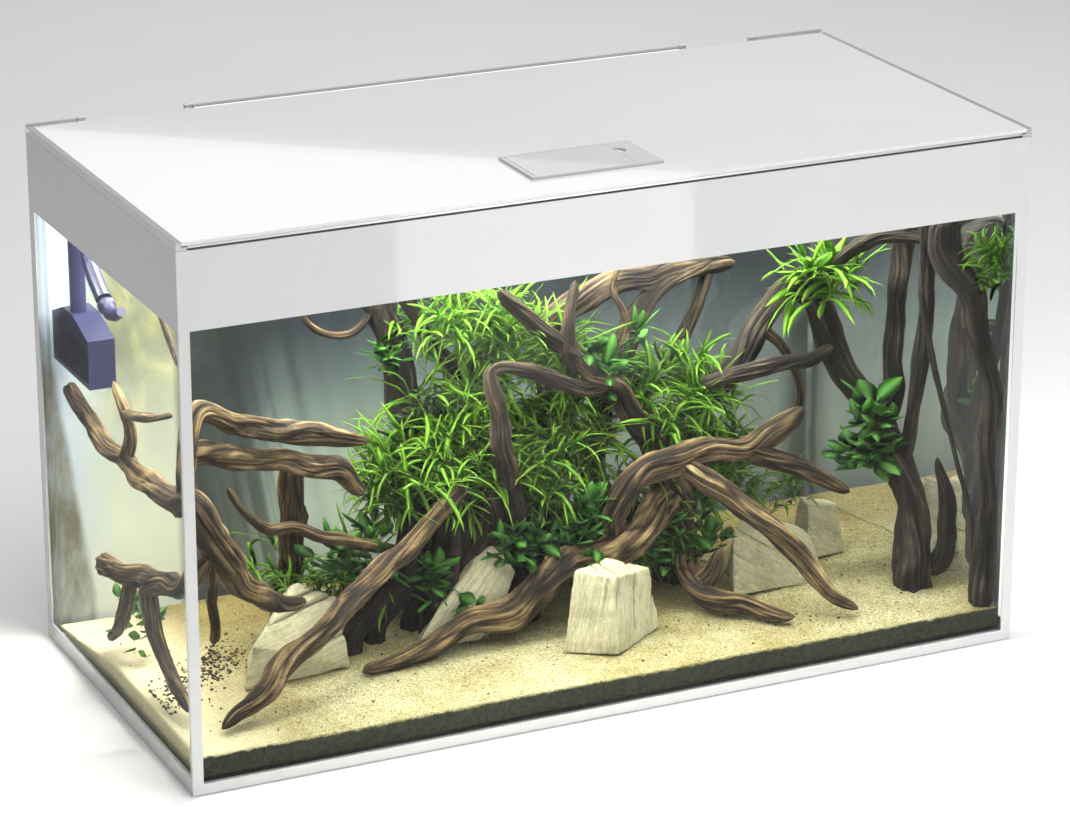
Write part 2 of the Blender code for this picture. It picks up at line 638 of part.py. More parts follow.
RIGHT_STEM = (
    (0.446, -0.160, 0.473, 0.0100), (0.462, -0.172, 0.425, 0.0125), (0.470, -0.186, 0.360, 0.0125),
    (0.471, -0.195, 0.300, 0.0115), (0.471, -0.200, 0.200, 0.0115), (0.470, -0.203, 0.058, 0.0115))

# Stones: corners of the foot, then of the top, each (x, y, z)
STONES = (
    ("stone_left", (
        (-0.383, -0.080, 0.0405), (-0.262, -0.072, 0.0405), (-0.250, -0.015, 0.0405), (-0.360, -0.010, 0.0405),
        (-0.372, -0.068, 0.095), (-0.300, -0.062, 0.122), (-0.262, -0.050, 0.105), (-0.330, -0.015, 0.115))),
    ("stone_slab", (
        (-0.170, -0.068, 0.0405), (-0.085, -0.062, 0.0405), (-0.075, -0.035, 0.0405), (-0.160, -0.035, 0.0405),
        (-0.100, -0.064, 0.150), (-0.052, -0.058, 0.112), (-0.070, -0.028, 0.140), (-0.062, -0.060, 0.085))),
    ("stone_center", (
        (-0.024, -0.143, 0.0405), (0.030, -0.176, 0.0405), (0.108, -0.122, 0.0405), (0.050, -0.094, 0.0405),
        (-0.004, -0.130, 0.130), (0.036, -0.152, 0.124), (0.096, -0.116, 0.112), (0.050, -0.100, 0.126))),
    ("stone_right", (
        (0.225, -0.080, 0.0405), (0.345, -0.078, 0.0405), (0.360, -0.025, 0.0405), (0.245, -0.020, 0.0405),
        (0.232, -0.062, 0.108), (0.310, -0.066, 0.112), (0.345, -0.040, 0.085), (0.262, -0.028, 0.118))),
    ("stone_back", (
        (0.358, -0.015, 0.0405), (0.408, -0.012, 0.0405), (0.412, 0.035, 0.0405), (0.362, 0.035, 0.0405),
        (0.362, -0.004, 0.104), (0.402, -0.004, 0.100), (0.405, 0.028, 0.094), (0.366, 0.026, 0.106))),
    ("stone_corner", (
        (0.442, -0.062, 0.0405), (0.484, -0.060, 0.0405), (0.484, -0.018, 0.0405), (0.445, -0.020, 0.0405),
        (0.450, -0.054, 0.130), (0.480, -0.054, 0.140), (0.480, -0.026, 0.135), (0.452, -0.026, 0.124))),
)

# Plant clumps: name, centre, half sizes
PLANTS = (
    ("plants_left", (-0.145, 0.025, 0.200), (0.050, 0.028, 0.060)),
    ("plants_center", (0.045, 0.025, 0.190), (0.042, 0.026, 0.055)),
    ("plants_right", (0.255, 0.025, 0.175), (0.045, 0.030, 0.045)),
    ("plants_trunk", (0.395, -0.085, 0.205), (0.020, 0.016, 0.022)),
    ("plants_crown", (0.425, 0.020, 0.385), (0.022, 0.020, 0.022)),
    ("plants_corner", (0.462, -0.205, 0.440), (0.020, 0.014, 0.028)),
)


def make_sand():
    half_y = INNER_Y - SAND_EDGE
    low = BOTTOM + GAP
    outline = (
        (-half_y, low), (half_y, low), (half_y, SAND_BACK), (SAND_CREST, SAND_TOP), (-half_y, SAND_TOP))
    half_x = INNER_X - SAND_EDGE
    prism("sand_bed", outline, "x", -half_x, half_x, sand())


def make_driftwood():
    groups = (
        ("driftwood_center", CENTER_BRANCHES), ("driftwood_left", LEFT_BRANCHES),
        ("driftwood_right", RIGHT_BRANCHES), ("driftwood_dark", DARK_BRANCHES),
        ("driftwood_upper", UPPER_BRANCHES))
    sides = 8
    for name, branches in groups:
        trunk = tube(name, branches[0], sides, driftwood())
        others = [tube("branch", points, sides - 1, driftwood()) for points in branches[1:]]
        combine(trunk, others, "UNION")
    tube("driftwood_log", LEFT_LOG, sides, driftwood())
    tube("driftwood_stem", RIGHT_STEM, sides, driftwood())


def make_stones():
    for name, corners in STONES:
        shape = bmesh.new()
        for corner in corners:
            shape.verts.new(corner)
        hull = bmesh.ops.convex_hull(shape, input=shape.verts)
        loose = [item for item in hull["geom_interior"] if isinstance(item, bmesh.types.BMVert)]
        bmesh.ops.delete(shape, geom=loose, context="VERTS")
        add(name, shape, stone())


def make_plants():
    for name, centre, half in PLANTS:
        shape = bmesh.new()
        bmesh.ops.create_icosphere(shape, subdivisions=2, radius=1.0)
        for corner in shape.verts:
            corner.co = [middle + size * part for middle, size, part in zip(centre, half, corner.co)]
        add(name, shape, leaf_green(), 60)


def build():
    clear_scene()
    make_panes()
    make_borders()
    make_seal()
    make_braces()
    make_rim()
    lid_axis = axis_empty("lid_axis", (0.0, HINGE_Y, HINGE_Z))
    flap_axis = axis_empty("flap_axis", FLAP_AXIS, lid_axis)
    nozzle_axis = axis_empty("nozzle_axis", NOZZLE_AXIS)
    make_lid(lid_axis)
    make_hatch(lid_axis, flap_axis)
    make_lamps(lid_axis)
    make_intake()
    make_outlet(nozzle_axis)
    make_suction_cups()
    make_sand()
    make_driftwood()
    make_stones()
    make_plants()


build()
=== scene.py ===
import math

import bmesh
import bpy
import numpy as np
from mathutils import Matrix, Vector, noise


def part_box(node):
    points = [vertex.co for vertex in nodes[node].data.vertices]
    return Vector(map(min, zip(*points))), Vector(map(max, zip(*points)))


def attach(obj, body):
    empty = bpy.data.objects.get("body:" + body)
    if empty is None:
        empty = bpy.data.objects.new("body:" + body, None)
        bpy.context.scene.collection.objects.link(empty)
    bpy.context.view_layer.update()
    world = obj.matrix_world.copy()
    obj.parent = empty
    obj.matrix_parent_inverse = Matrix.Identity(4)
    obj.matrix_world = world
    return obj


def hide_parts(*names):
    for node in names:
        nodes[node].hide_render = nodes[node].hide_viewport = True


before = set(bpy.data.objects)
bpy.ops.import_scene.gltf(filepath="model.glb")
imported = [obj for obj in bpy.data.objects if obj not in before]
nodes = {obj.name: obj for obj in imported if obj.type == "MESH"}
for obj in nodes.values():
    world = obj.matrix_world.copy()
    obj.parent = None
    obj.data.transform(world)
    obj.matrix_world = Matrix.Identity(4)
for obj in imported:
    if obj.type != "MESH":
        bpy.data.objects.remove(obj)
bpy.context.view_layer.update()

rng = np.random.default_rng(7)

# Inside faces of the side and front panes, levels of the sand, middle of the rear panel's thickness
INNER_X = -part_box("left_pane")[1].x
INNER_Y = -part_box("front_pane")[1].y
SAND_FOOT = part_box("sand_bed")[0].z
SAND_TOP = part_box("sand_bed")[1].z
REAR_MIDDLE = (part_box("rear_panel")[0].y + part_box("rear_panel")[1].y) / 2
# The bend that the filter's nozzle turns about, and the ball that fills it
NOZZLE_PIVOT = (-0.4755, 0.056, 0.452)
BALL_RADIUS = 0.0103
# Room that wood and leaves keep to the panes
PANE_GAP = 0.001

CAMERA_PLACE = (-1.7551, -3.7755, 1.7817)
CAMERA_TILT = 70.153
CAMERA_TURN = -25.036
CAMERA_LENS = 131.77
WORLD_LIGHT = 0.38


# Node materials

def put(tree, socket, value):
    """Set a socket, or link another socket to it."""
    if isinstance(value, bpy.types.NodeSocket):
        tree.links.new(value, socket)
    elif socket.type == "RGBA" and len(value) == 3:
        socket.default_value = (*value, 1.0)
    else:
        socket.default_value = value


class Paint:
    """Builds one node material around a Principled shader."""

    def __init__(self, name, **settings):
        self.material = bpy.data.materials.new(name)
        self.material.use_nodes = True
        self.tree = self.material.node_tree
        self.shader = self.tree.nodes["Principled BSDF"]
        self.set(**settings)

    def set(self, **settings):
        for key, value in settings.items():
            put(self.tree, self.shader.inputs[key.replace("_", " ").title().replace("Ior", "IOR")], value)

    def show(self, shader):
        """Make another shader the surface."""
        self.tree.links.new(shader, self.tree.nodes["Material Output"].inputs["Surface"])

    def node(self, kind, inputs=(), **settings):
        made = self.tree.nodes.new("ShaderNode" + kind)
        for key, value in settings.items():
            setattr(made, key, value)
        for key, value in dict(inputs).items():
            put(self.tree, made.inputs[key], value)
        return made

    def place(self):
        return self.node("TexCoord").outputs["Object"]

    def attribute(self, name, output="Fac"):
        return self.node("Attribute", attribute_name=name).outputs[output]

    def scaled(self, vector, scale):
        return self.node("Mapping", {"Vector": vector, "Scale": scale}).outputs[0]

    def noise(self, vector, scale, detail=4.0, rough=0.55, distort=0.0):
        return self.node("TexNoise", {
            "Vector": vector, "Scale": scale, "Detail": detail, "Roughness": rough,
            "Distortion": distort}).outputs[0]

    def math(self, operation, a, b):
        made = self.node("Math", operation=operation)
        put(self.tree, made.inputs[0], a)
        put(self.tree, made.inputs[1], b)
        return made.outputs[0]

    def plus(self, a, b):
        return self.math("ADD", a, b)

    def times(self, a, b):
        return self.math("MULTIPLY", a, b)

    def step(self, value, low, high, out_low=0.0, out_high=1.0):
        return self.node("MapRange", {
            "Value": value, "From Min": low, "From Max": high,
            "To Min": out_low, "To Max": out_high}).outputs[0]

    def ramp(self, value, stops):
        made = self.node("ValToRGB", {"Fac": value})
        band = made.color_ramp
        while len(band.elements) < len(stops):
            band.elements.new(0.5)
        for element, stop in zip(band.elements, stops):
            element.position = stop[0]
        for element, stop in zip(band.elements, stops):
            element.color = (*stop[1], 1.0)
        return made.outputs[0]

    def tones(self, value, *stops):
        """A ramp whose stops are (position, red, green, blue), the colours as 0-255 levels."""
        return self.ramp(value, [(position, srgb(*levels)) for position, *levels in stops])

    def mix(self, factor, a, b, blend="MIX"):
        made = self.node("Mix", data_type="RGBA", blend_type=blend)
        put(self.tree, made.inputs[0], factor)
        put(self.tree, made.inputs[6], a)
        put(self.tree, made.inputs[7], b)
        return made.outputs[2]

    def bump(self, height, distance, strength):
        made = self.node("Bump", {"Height": height, "Distance": distance, "Strength": strength})
        self.set(normal=made.outputs[0])


def srgb(*levels):
    """Linear colour of 0-255 levels."""
    return tuple((level / 255 / 12.92) if level < 10 else ((level / 255 + 0.055) / 1.055) ** 2.4
                 for level in levels)


def give(material, *names):
    """Give CAD nodes a material."""
    for name in names:
        mesh = nodes[name].data
        mesh.materials.clear()
        mesh.materials.append(material)


def pane_glass():
    """Clear sheet: straight through, with the gloss of its outer face and the mirror of its inner face.

    Water and glass meet at the inner face, so a slanting ray inside is reflected in full.
    """
    paint = Paint("pane_glass")
    paint.tree.nodes.remove(paint.shader)
    geometry = paint.node("NewGeometry")
    sides = {0: geometry.outputs["True Normal"], 1: geometry.outputs["Position"]}
    facing = paint.node("VectorMath", sides, operation="DOT_PRODUCT").outputs["Value"]
    outer = paint.math("GREATER_THAN", facing, 0.0)
    outside = paint.times(paint.node("Fresnel", {"IOR": 1.45}).outputs[0], 0.3)
    inside = paint.node("Fresnel", {"IOR": 0.752}).outputs[0]
    strength = paint.node("Mix", {0: outer, 2: inside, 3: outside}, data_type="FLOAT").outputs[0]
    front = paint.math("SUBTRACT", 1.0, geometry.outputs["Backfacing"])
    wear = paint.step(paint.noise(paint.place(), 6.0), 0.2, 0.8, 0.92, 1.0)
    strength = paint.times(strength, paint.times(front, wear))
    through = paint.node("BsdfTransparent", {"Color": (0.985, 0.995, 0.99)}).outputs[0]
    gloss = paint.node("BsdfGlossy", {"Roughness": 0.0, "Color": (1.0, 1.0, 1.0)}).outputs[0]
    paint.show(paint.node("MixShader", {0: strength, 1: through, 2: gloss}).outputs[0])
    return paint.material


def clear_silicone():
    """Clear bead, mostly see-through, with a milky skin."""
    paint = Paint("silicone_clear", roughness=0.3)
    cloud = paint.noise(paint.place(), 60.0, 3.0)
    paint.set(base_color=paint.ramp(cloud, [(0.3, (0.3, 0.34, 0.34)), (0.7, (0.42, 0.46, 0.46))]))
    through = paint.node("BsdfTransparent", {"Color": (0.95, 0.97, 0.97)}).outputs[0]
    share = paint.step(cloud, 0.3, 0.7, 0.1, 0.2)
    paint.show(paint.node("MixShader", {0: share, 1: through, 2: paint.shader.outputs[0]}).outputs[0])
    return paint.material


def lacquer(name, level, rough=0.07):
    """Glossy paint on glass, with a faint orange peel and cloudiness."""
    paint = Paint(name, roughness=rough, coat_weight=0.6, coat_roughness=0.02, ior=1.5)
    place = paint.place()
    cloud = paint.noise(place, 2.2, 3.0)
    low, high = level * 0.965, level * 1.02
    paint.set(base_color=paint.ramp(cloud, [(0.3, (low, low, low)), (0.7, (high, high, high))]))
    paint.set(roughness=paint.step(paint.noise(place, 30.0), 0.3, 0.7, rough * 0.8, rough * 1.3))
    paint.bump(paint.noise(place, 140.0, 2.0), 0.00004, 0.25)
    return paint.material


def metal(name, low, high, along=(2.0, 180.0, 180.0)):
    """Anodised strip, brushed along its length."""
    rough = 0.32
    paint = Paint(name, metallic=0.75, roughness=rough)
    place = paint.scaled(paint.place(), along)
    grain = paint.noise(place, 4.0, 5.0, 0.6)
    paint.set(base_color=paint.ramp(grain, [(0.3, low), (0.7, high)]))
    paint.set(roughness=paint.step(grain, 0.3, 0.7, rough * 0.8, rough * 1.25))
    paint.bump(grain, 0.00005, 0.4)
    return paint.material


def plastic(name, low, high, rough, scale=500.0):
    """Moulded plastic, a little cloudy, with a fine grain."""
    paint = Paint(name, roughness=rough)
    place = paint.place()
    paint.set(base_color=paint.ramp(paint.noise(place, 9.0), [(0.3, low), (0.7, high)]))
    paint.set(roughness=paint.step(paint.noise(place, 40.0), 0.3, 0.7, rough * 0.8, rough * 1.2))
    paint.bump(paint.noise(place, scale, 2.0), 0.0001, 0.3)
    return paint.material


def backdrop():
    """Frosted rear panel with a painted glow: bright low in the middle and darker outwards, navy above,
    banded at the left, milky at its end with painted caustics.
    """
    paint = Paint("rear_film", roughness=0.6)
    place = paint.place()
    axes = paint.node("SeparateXYZ", {"Vector": place})
    across, deep, up = axes.outputs[0], axes.outputs[1], axes.outputs[2]
    warp = paint.noise(place, 3.0, 3.0)
    aside = paint.plus(across, 0.08)
    aside = paint.times(aside, paint.step(aside, -0.05, 0.05, 1.35, 0.45))
    above = paint.times(paint.math("SUBTRACT", up, 0.12), 2.6)
    spread = paint.node("CombineXYZ", {"X": aside, "Z": above}).outputs[0]
    radius = paint.node("VectorMath", {0: spread}, operation="LENGTH").outputs["Value"]
    radius = paint.plus(radius, paint.step(warp, 0.2, 0.8, -0.06, 0.06))
    # Painted glow: the colour is brightest low in the middle and darker outwards, towards the top and the
    # ends
    color = paint.tones(
        radius, (0.0, 182, 195, 184), (0.12, 172, 185, 173), (0.37, 120, 134, 132),
        (0.45, 108, 122, 124), (0.55, 78, 90, 99), (0.68, 56, 66, 84), (1.0, 34, 42, 58))
    slant = paint.plus(across, paint.times(up, 0.18))
    bars = paint.step(paint.noise(paint.node("CombineXYZ", {"X": slant}).outputs[0], 34.0, 2.0), 0.46, 0.56)
    shade = paint.times(bars, paint.step(across, -0.16, -0.22, 0.1, 0.7))
    color = paint.mix(shade, color, srgb(40, 46, 56))
    color = paint.mix(paint.step(across, -0.205, -0.26, 0.0, 0.85), color, srgb(50, 56, 56))
    color = paint.mix(paint.step(across, 0.05, 0.42, 0.0, 0.4), color, srgb(50, 58, 64))
    high = paint.times(paint.step(up, 0.27, 0.38), paint.step(across, 0.08, 0.16, 0.0, 0.75))
    color = paint.mix(paint.times(high, bars), color, srgb(34, 40, 54))
    color = paint.mix(paint.step(across, 0.45, 0.475, 0.0, 0.8), color, srgb(44, 48, 46))
    upper_left = paint.times(paint.step(up, 0.22, 0.36), paint.step(across, -0.04, -0.2, 0.0, 0.5))
    color = paint.mix(upper_left, color, srgb(16, 22, 36))
    # The lamps light the film's upper part far more, so painted shade darkens its colour there and keeps the
    # painted glow low in the middle
    painted_top_shade = paint.ramp(paint.math("DIVIDE", up, 0.6), [
        (0.0, (0.88, 0.88, 0.88)), (0.18, (0.85, 0.85, 0.85)), (0.42, (0.4, 0.4, 0.4)),
        (0.55, (0.21, 0.21, 0.21)), (0.75, (0.11, 0.11, 0.12)), (1.0, (0.08, 0.08, 0.09))])
    color = paint.mix(1.0, color, painted_top_shade, "MULTIPLY")
    color = paint.node("VectorMath", {0: color, 1: (1.45, 1.42, 1.5)}, operation="MULTIPLY").outputs[0]
    # Painted caustics: yellow-green swirls of light at the left end, which is paler low down with the painted
    # glow and bluer at the very end
    caustic_streaks = paint.noise(paint.scaled(place, (20.0, 0.0, 8.0)), 1.0, 6.0, 0.62, 1.4)
    milky = paint.tones(
        caustic_streaks, (0.3, 96, 98, 80), (0.5, 112, 114, 92), (0.64, 140, 137, 94), (0.76, 176, 170, 116))
    low = paint.step(up, 0.34, 0.12)
    milky = paint.mix(paint.times(low, 0.85), milky, srgb(222, 224, 212))
    milky = paint.mix(paint.step(across, -0.47, -0.41, 0.85, 0.0), milky, srgb(184, 194, 214))
    color = paint.mix(paint.step(across, -0.326, -0.34), color, milky)
    smear = paint.noise(paint.scaled(place, (34.0, 0.0, 12.0)), 1.0, 6.0, 0.65)
    lean = paint.math("SUBTRACT", across, paint.step(up, 0.04, 0.33, -0.442, -0.482))
    mass = paint.times(paint.step(lean, 0.004, -0.004), paint.step(up, 0.36, 0.32))
    mass = paint.times(mass, paint.step(smear, 0.34, 0.6, 0.45, 1.0))
    color = paint.mix(mass, color, srgb(104, 99, 84))
    color = paint.mix(paint.step(deep, REAR_MIDDLE - 0.0004, REAR_MIDDLE + 0.0004), color, srgb(30, 36, 46))
    paint.set(base_color=color)
    return paint.material


def lens_glow():
    """Opal lamp lens that shines."""
    paint = Paint("lens_opal", roughness=0.35, base_color=(0.9, 0.9, 0.86))
    grain = paint.noise(paint.scaled(paint.place(), (60.0, 10.0, 10.0)), 3.0)
    paint.set(emission_color=paint.ramp(grain, [(0.3, (0.9, 0.95, 0.9)), (0.7, (1.0, 1.0, 0.95))]))
    paint.set(emission_strength=3.0)
    return paint.material


def wood(name, *palette):
    """Weathered root wood: long fibres, grooves darkened with painted shade, paler ridges, painted shade on
    faces that look down. A palette runs from dark to pale.
    """
    deep, dark, mid, light, pale = (srgb(*levels) for levels in palette)
    paint = Paint(name, roughness=0.75)
    grain = paint.attribute("grain", "Vector")
    groove = paint.attribute("groove")
    place = paint.place()
    fibre = paint.noise(paint.scaled(grain, (9.0, 9.0, 4.0)), 1.0, 7.0, 0.7, 0.3)
    streak = paint.noise(paint.scaled(grain, (2.6, 2.6, 1.4)), 1.0, 5.0, 0.6, 0.4)
    patch = paint.noise(place, 20.0, 5.0, 0.6)
    # Painted shade: the groove value is low in the mesh's grooves, so the recesses come out darker
    tone = paint.plus(paint.times(groove, 0.38), paint.times(fibre, 0.62))
    tone = paint.plus(tone, paint.times(streak, 0.34))
    tone = paint.plus(tone, paint.step(patch, 0.25, 0.75, -0.36, -0.04))
    color = paint.ramp(tone, [(0.2, deep), (0.36, dark), (0.52, mid), (0.68, light), (0.86, pale)])
    moss = paint.step(paint.noise(place, 14.0, 5.0, 0.6), 0.56, 0.72)
    color = paint.mix(paint.times(moss, 0.4), color, srgb(62, 66, 36))
    # Painted shade: faces that look down are darkened
    upward = paint.node("SeparateXYZ", {"Vector": paint.node("NewGeometry").outputs["Normal"]}).outputs[2]
    painted_underside_shade = paint.times(paint.step(upward, 0.35, -0.65), 0.85)
    color = paint.mix(painted_underside_shade, color, paint.mix(1.0, color, (0.34, 0.3, 0.28), "MULTIPLY"))
    paint.set(base_color=color, roughness=paint.step(fibre, 0.2, 0.8, 0.6, 0.92))
    fine = paint.noise(paint.scaled(grain, (18.0, 18.0, 9.0)), 1.0, 5.0, 0.7)
    height = paint.plus(paint.times(fibre, 0.8), paint.times(fine, 0.5))
    paint.bump(height, 0.003, 1.0)
    return paint.material


def rock():
    """Cream stone with thin grey strata and pitted faces; painted shade darkens its pits and cracks."""
    paint = Paint("strata_stone", roughness=0.85)
    place = paint.place()
    layer = paint.attribute("layer")
    along = paint.node("CombineXYZ", {"X": layer, "Y": paint.times(paint.noise(place, 8.0), 0.35)})
    bands = paint.noise(along.outputs[0], 16.0, 8.0, 0.8)
    fine = paint.noise(place, 60.0, 6.0, 0.65)
    color = paint.tones(
        bands, (0.28, 128, 126, 104), (0.38, 182, 178, 148), (0.46, 214, 208, 172),
        (0.53, 170, 166, 138), (0.6, 226, 219, 184), (0.75, 192, 186, 152))
    stain = paint.step(paint.noise(place, 18.0, 4.0), 0.5, 0.68)
    color = paint.mix(paint.times(stain, 0.35), color, srgb(128, 116, 84))
    # Painted shade: the low spots of the fine bump are darkened
    pit_shade = paint.step(fine, 0.3, 0.48, 1.0, 0.0)
    color = paint.mix(paint.times(pit_shade, 0.35), color, srgb(96, 92, 78))
    # Painted shade in the cracks, which the mesh pushes in
    crack = paint.attribute("crack")
    color = paint.mix(crack, color, srgb(52, 48, 38))
    paint.set(base_color=color)
    height = paint.plus(paint.times(fine, 0.7), paint.times(bands, 0.8))
    paint.bump(height, 0.0022, 0.7)
    return paint.material


def sand_grains():
    """Beige grains, with brown and dark ones among them; painted shade makes the sand darker and more olive
    towards the back and dark olive below the surface on the front side, and painted light makes it paler at
    the left end.
    """
    paint = Paint("sand_mix", roughness=0.95)
    place = paint.place()
    grain = paint.node("TexVoronoi", {"Vector": place, "Scale": 900.0}).outputs["Color"]
    value = paint.node("SeparateColor", {"Color": grain}).outputs[0]
    color = paint.tones(
        value, (0.0, 84, 66, 40), (0.1, 130, 114, 76), (0.25, 174, 166, 120), (0.6, 192, 187, 142),
        (0.9, 212, 209, 174), (1.0, 234, 232, 210))
    drift = paint.noise(place, 11.0, 6.0, 0.65)
    color = paint.mix(paint.step(drift, 0.38, 0.62, 0.0, 0.75), color, srgb(200, 188, 140), "MULTIPLY")
    axes = paint.node("SeparateXYZ", {"Vector": place})
    # Painted shade with an olive tint: darker towards the back
    behind = paint.step(axes.outputs[1], -0.1, 0.12, 0.0, 0.9)
    color = paint.mix(behind, color, srgb(166, 154, 98), "MULTIPLY")
    # Painted light: paler towards the left end, where little lamp light reaches
    color = paint.mix(paint.step(axes.outputs[0], -0.36, -0.47, 0.0, 0.75), color, srgb(252, 240, 200))
    # Painted shade on the bed's front side: dark olive below the surface, darkest near the foot
    deep = paint.attribute("depth")
    front_face_mottle = paint.noise(place, 260.0, 6.0, 0.7)
    front_face_shade = paint.tones(front_face_mottle, (0.35, 56, 60, 46), (0.7, 92, 95, 76))
    ragged = paint.plus(deep, paint.step(paint.noise(place, 120.0, 3.0), 0.3, 0.7, -0.0016, 0.0016))
    color = paint.mix(paint.step(ragged, 0.0012, 0.0026), color, front_face_shade)
    color = paint.mix(paint.step(deep, 0.0225, 0.0255), color, srgb(24, 24, 18))
    paint.set(base_color=color)
    height = paint.plus(value, paint.times(paint.noise(place, 250.0, 3.0), 1.2))
    paint.bump(height, 0.0012, 0.9)
    return paint.material


def leaf(name, dark, mid, bright, tip):
    """Waxy leaf: each leaf has its own tone, its midrib is paler and its tip brighter."""
    paint = Paint(name, specular_ior_level=0.32)
    tone = paint.attribute("tone")
    along = paint.attribute("along")
    rib = paint.attribute("rib")
    place = paint.place()
    mottled = paint.noise(place, 120.0, 4.0, 0.6)
    value = paint.plus(paint.times(tone, 0.72), paint.times(mottled, 0.28))
    color = paint.ramp(value, [(0.12, dark), (0.45, mid), (0.85, bright)])
    color = paint.mix(paint.step(along, 0.55, 1.0, 0.0, 0.55), color, tip)
    color = paint.mix(paint.times(rib, 0.35), color, tip)
    paint.set(base_color=color, roughness=paint.step(mottled, 0.3, 0.7, 0.38, 0.6))
    paint.bump(paint.noise(place, 700.0, 2.0), 0.0004, 0.4)
    glow = paint.node("BsdfTranslucent", {"Color": paint.mix(0.5, color, bright)}).outputs[0]
    paint.show(paint.node("MixShader", {0: 0.3, 1: paint.shader.outputs[0], 2: glow}).outputs[0])
    return paint.material


# Objects, and meshes from arrays

def add_object(name, data):
    item = bpy.data.objects.new(name, data)
    bpy.context.scene.collection.objects.link(item)
    return item


def mesh_object(name, points, faces, material, smooth=True, **attributes):
    """An object from points and faces, with point attributes."""
    mesh = bpy.data.meshes.new(name)
    mesh.from_pydata([tuple(p) for p in np.asarray(points, float)], [], [tuple(map(int, f)) for f in faces])
    for key, values in attributes.items():
        values = np.asarray(values, np.float32)
        vector = values.ndim == 2
        made = mesh.attributes.new(key, "FLOAT_VECTOR" if vector else "FLOAT", "POINT")
        made.data.foreach_set("vector" if vector else "value", values.ravel())
    if smooth:
        mesh.shade_smooth()
    mesh.materials.append(material)
    return add_object(name, mesh)


def quads(rows, columns, closed=True, start=0):
    """Faces of a grid of points. Its columns go round if it is closed."""
    found = []
    for row in range(rows - 1):
        for column in range(columns if closed else columns - 1):
            following = (column + 1) % columns
            a, b = start + row * columns, start + (row + 1) * columns
            found.append((a + column, a + following, b + following, b + column))
    return found


def tube(rows, around, start=0):
    """Faces of a grid that goes round, with both ends closed."""
    last = start + (rows - 1) * around
    ends = [tuple(range(start, start + around))[::-1], tuple(range(last, last + around))]
    return quads(rows, around, True, start) + ends


def curve_path(points, step):
    """Points of a Catmull-Rom curve through the given points, each (x, y, z, radius)."""
    knots = np.array(points, float)
    knots = np.vstack([2 * knots[0] - knots[1], knots, 2 * knots[-1] - knots[-2]])
    path = []
    for index in range(1, len(knots) - 2):
        p0, p1, p2, p3 = knots[index - 1:index + 3]
        count = max(2, round(float(np.linalg.norm((p2 - p1)[:3])) / step))
        for part in range(count):
            t = part / count
            path.append(0.5 * (2 * p1 + (p2 - p0) * t + (2 * p0 - 5 * p1 + 4 * p2 - p3) * t ** 2
                               + (3 * p1 - p0 - 3 * p2 + p3) * t ** 3))
    path.append(knots[-2])
    return np.array(path)


# Driftwood. Each branch is a row of (x, y, z, radius) in millimetres.

def metre(*values):
    """Millimetres as metres."""
    return tuple(round(value / 1000, 5) for value in values)


def metres(*branches):
    return tuple(tuple(metre(*point) for point in points) for points in branches)


CENTER_BRANCHES = metres(
    ((190, 5, 60, 24), (178, 0, 177, 20), (154, 0, 230, 17), (116, 0, 275, 15), (77, 0, 312, 13.5),
     (56, 0, 340, 11.5), (51, 0, 378, 9), (63, 10, 421, 6.5)),
    ((60, 1, 334, 9.8), (21, 0, 365, 10), (-9, -10, 399, 8.9), (-44, -20, 433, 7.8)),
    ((98, 1, 296, 9), (61, -10, 297, 9.1), (5, -20, 329, 7.9), (-52, -30, 343, 7.2), (-63, -35, 330, 8),
     (-56, -40, 294, 10.4), (-54, -50, 263, 12.6), (-46, -50, 206, 12)),
    ((70, -62, 128, 14), (93, -60, 187, 15.9), (137, -60, 211, 15.9), (188, -60, 218, 13.7),
     (246, -60, 214, 12.6), (285, -60, 228, 12.7), (321, -60, 252, 9.2)),
    ((250, -61, 213, 9.5), (300, -70, 192, 10.4), (341, -80, 169, 8.1), (375, -80, 146, 4.7)),
    ((165, -61, 208, 11), (212, -90, 168, 13.7), (249, -120, 134, 12.6), (285, -150, 90, 10.3),
     (309, -175, 62, 8), (327, -190, 48, 4.6)),
    ((188, -5, 85, 15), (170, -100, 64, 12.6), (207, -140, 56, 11.4), (252, -178, 48, 5.7)),
    ((174, -85, 66, 10), (180, -105, 90, 10), (192, -110, 118, 6.9)),
    ((180, -5, 150, 16), (113, -60, 135, 18.3), (32, -70, 110, 19.3), (-47, -80, 84, 16.9),
     (-126, -90, 62, 14.5), (-191, -100, 53, 11.1), (-254, -113, 47, 5.5)))

LEFT_LOG = metres(
    ((-101, -50, 220, 7.8), (-152, -70, 193, 10), (-226, -100, 157, 11), (-282, -120, 129, 12),
     (-337, -140, 100, 13), (-394, -165, 69, 12.9), (-448, -190, 48, 6.4)))

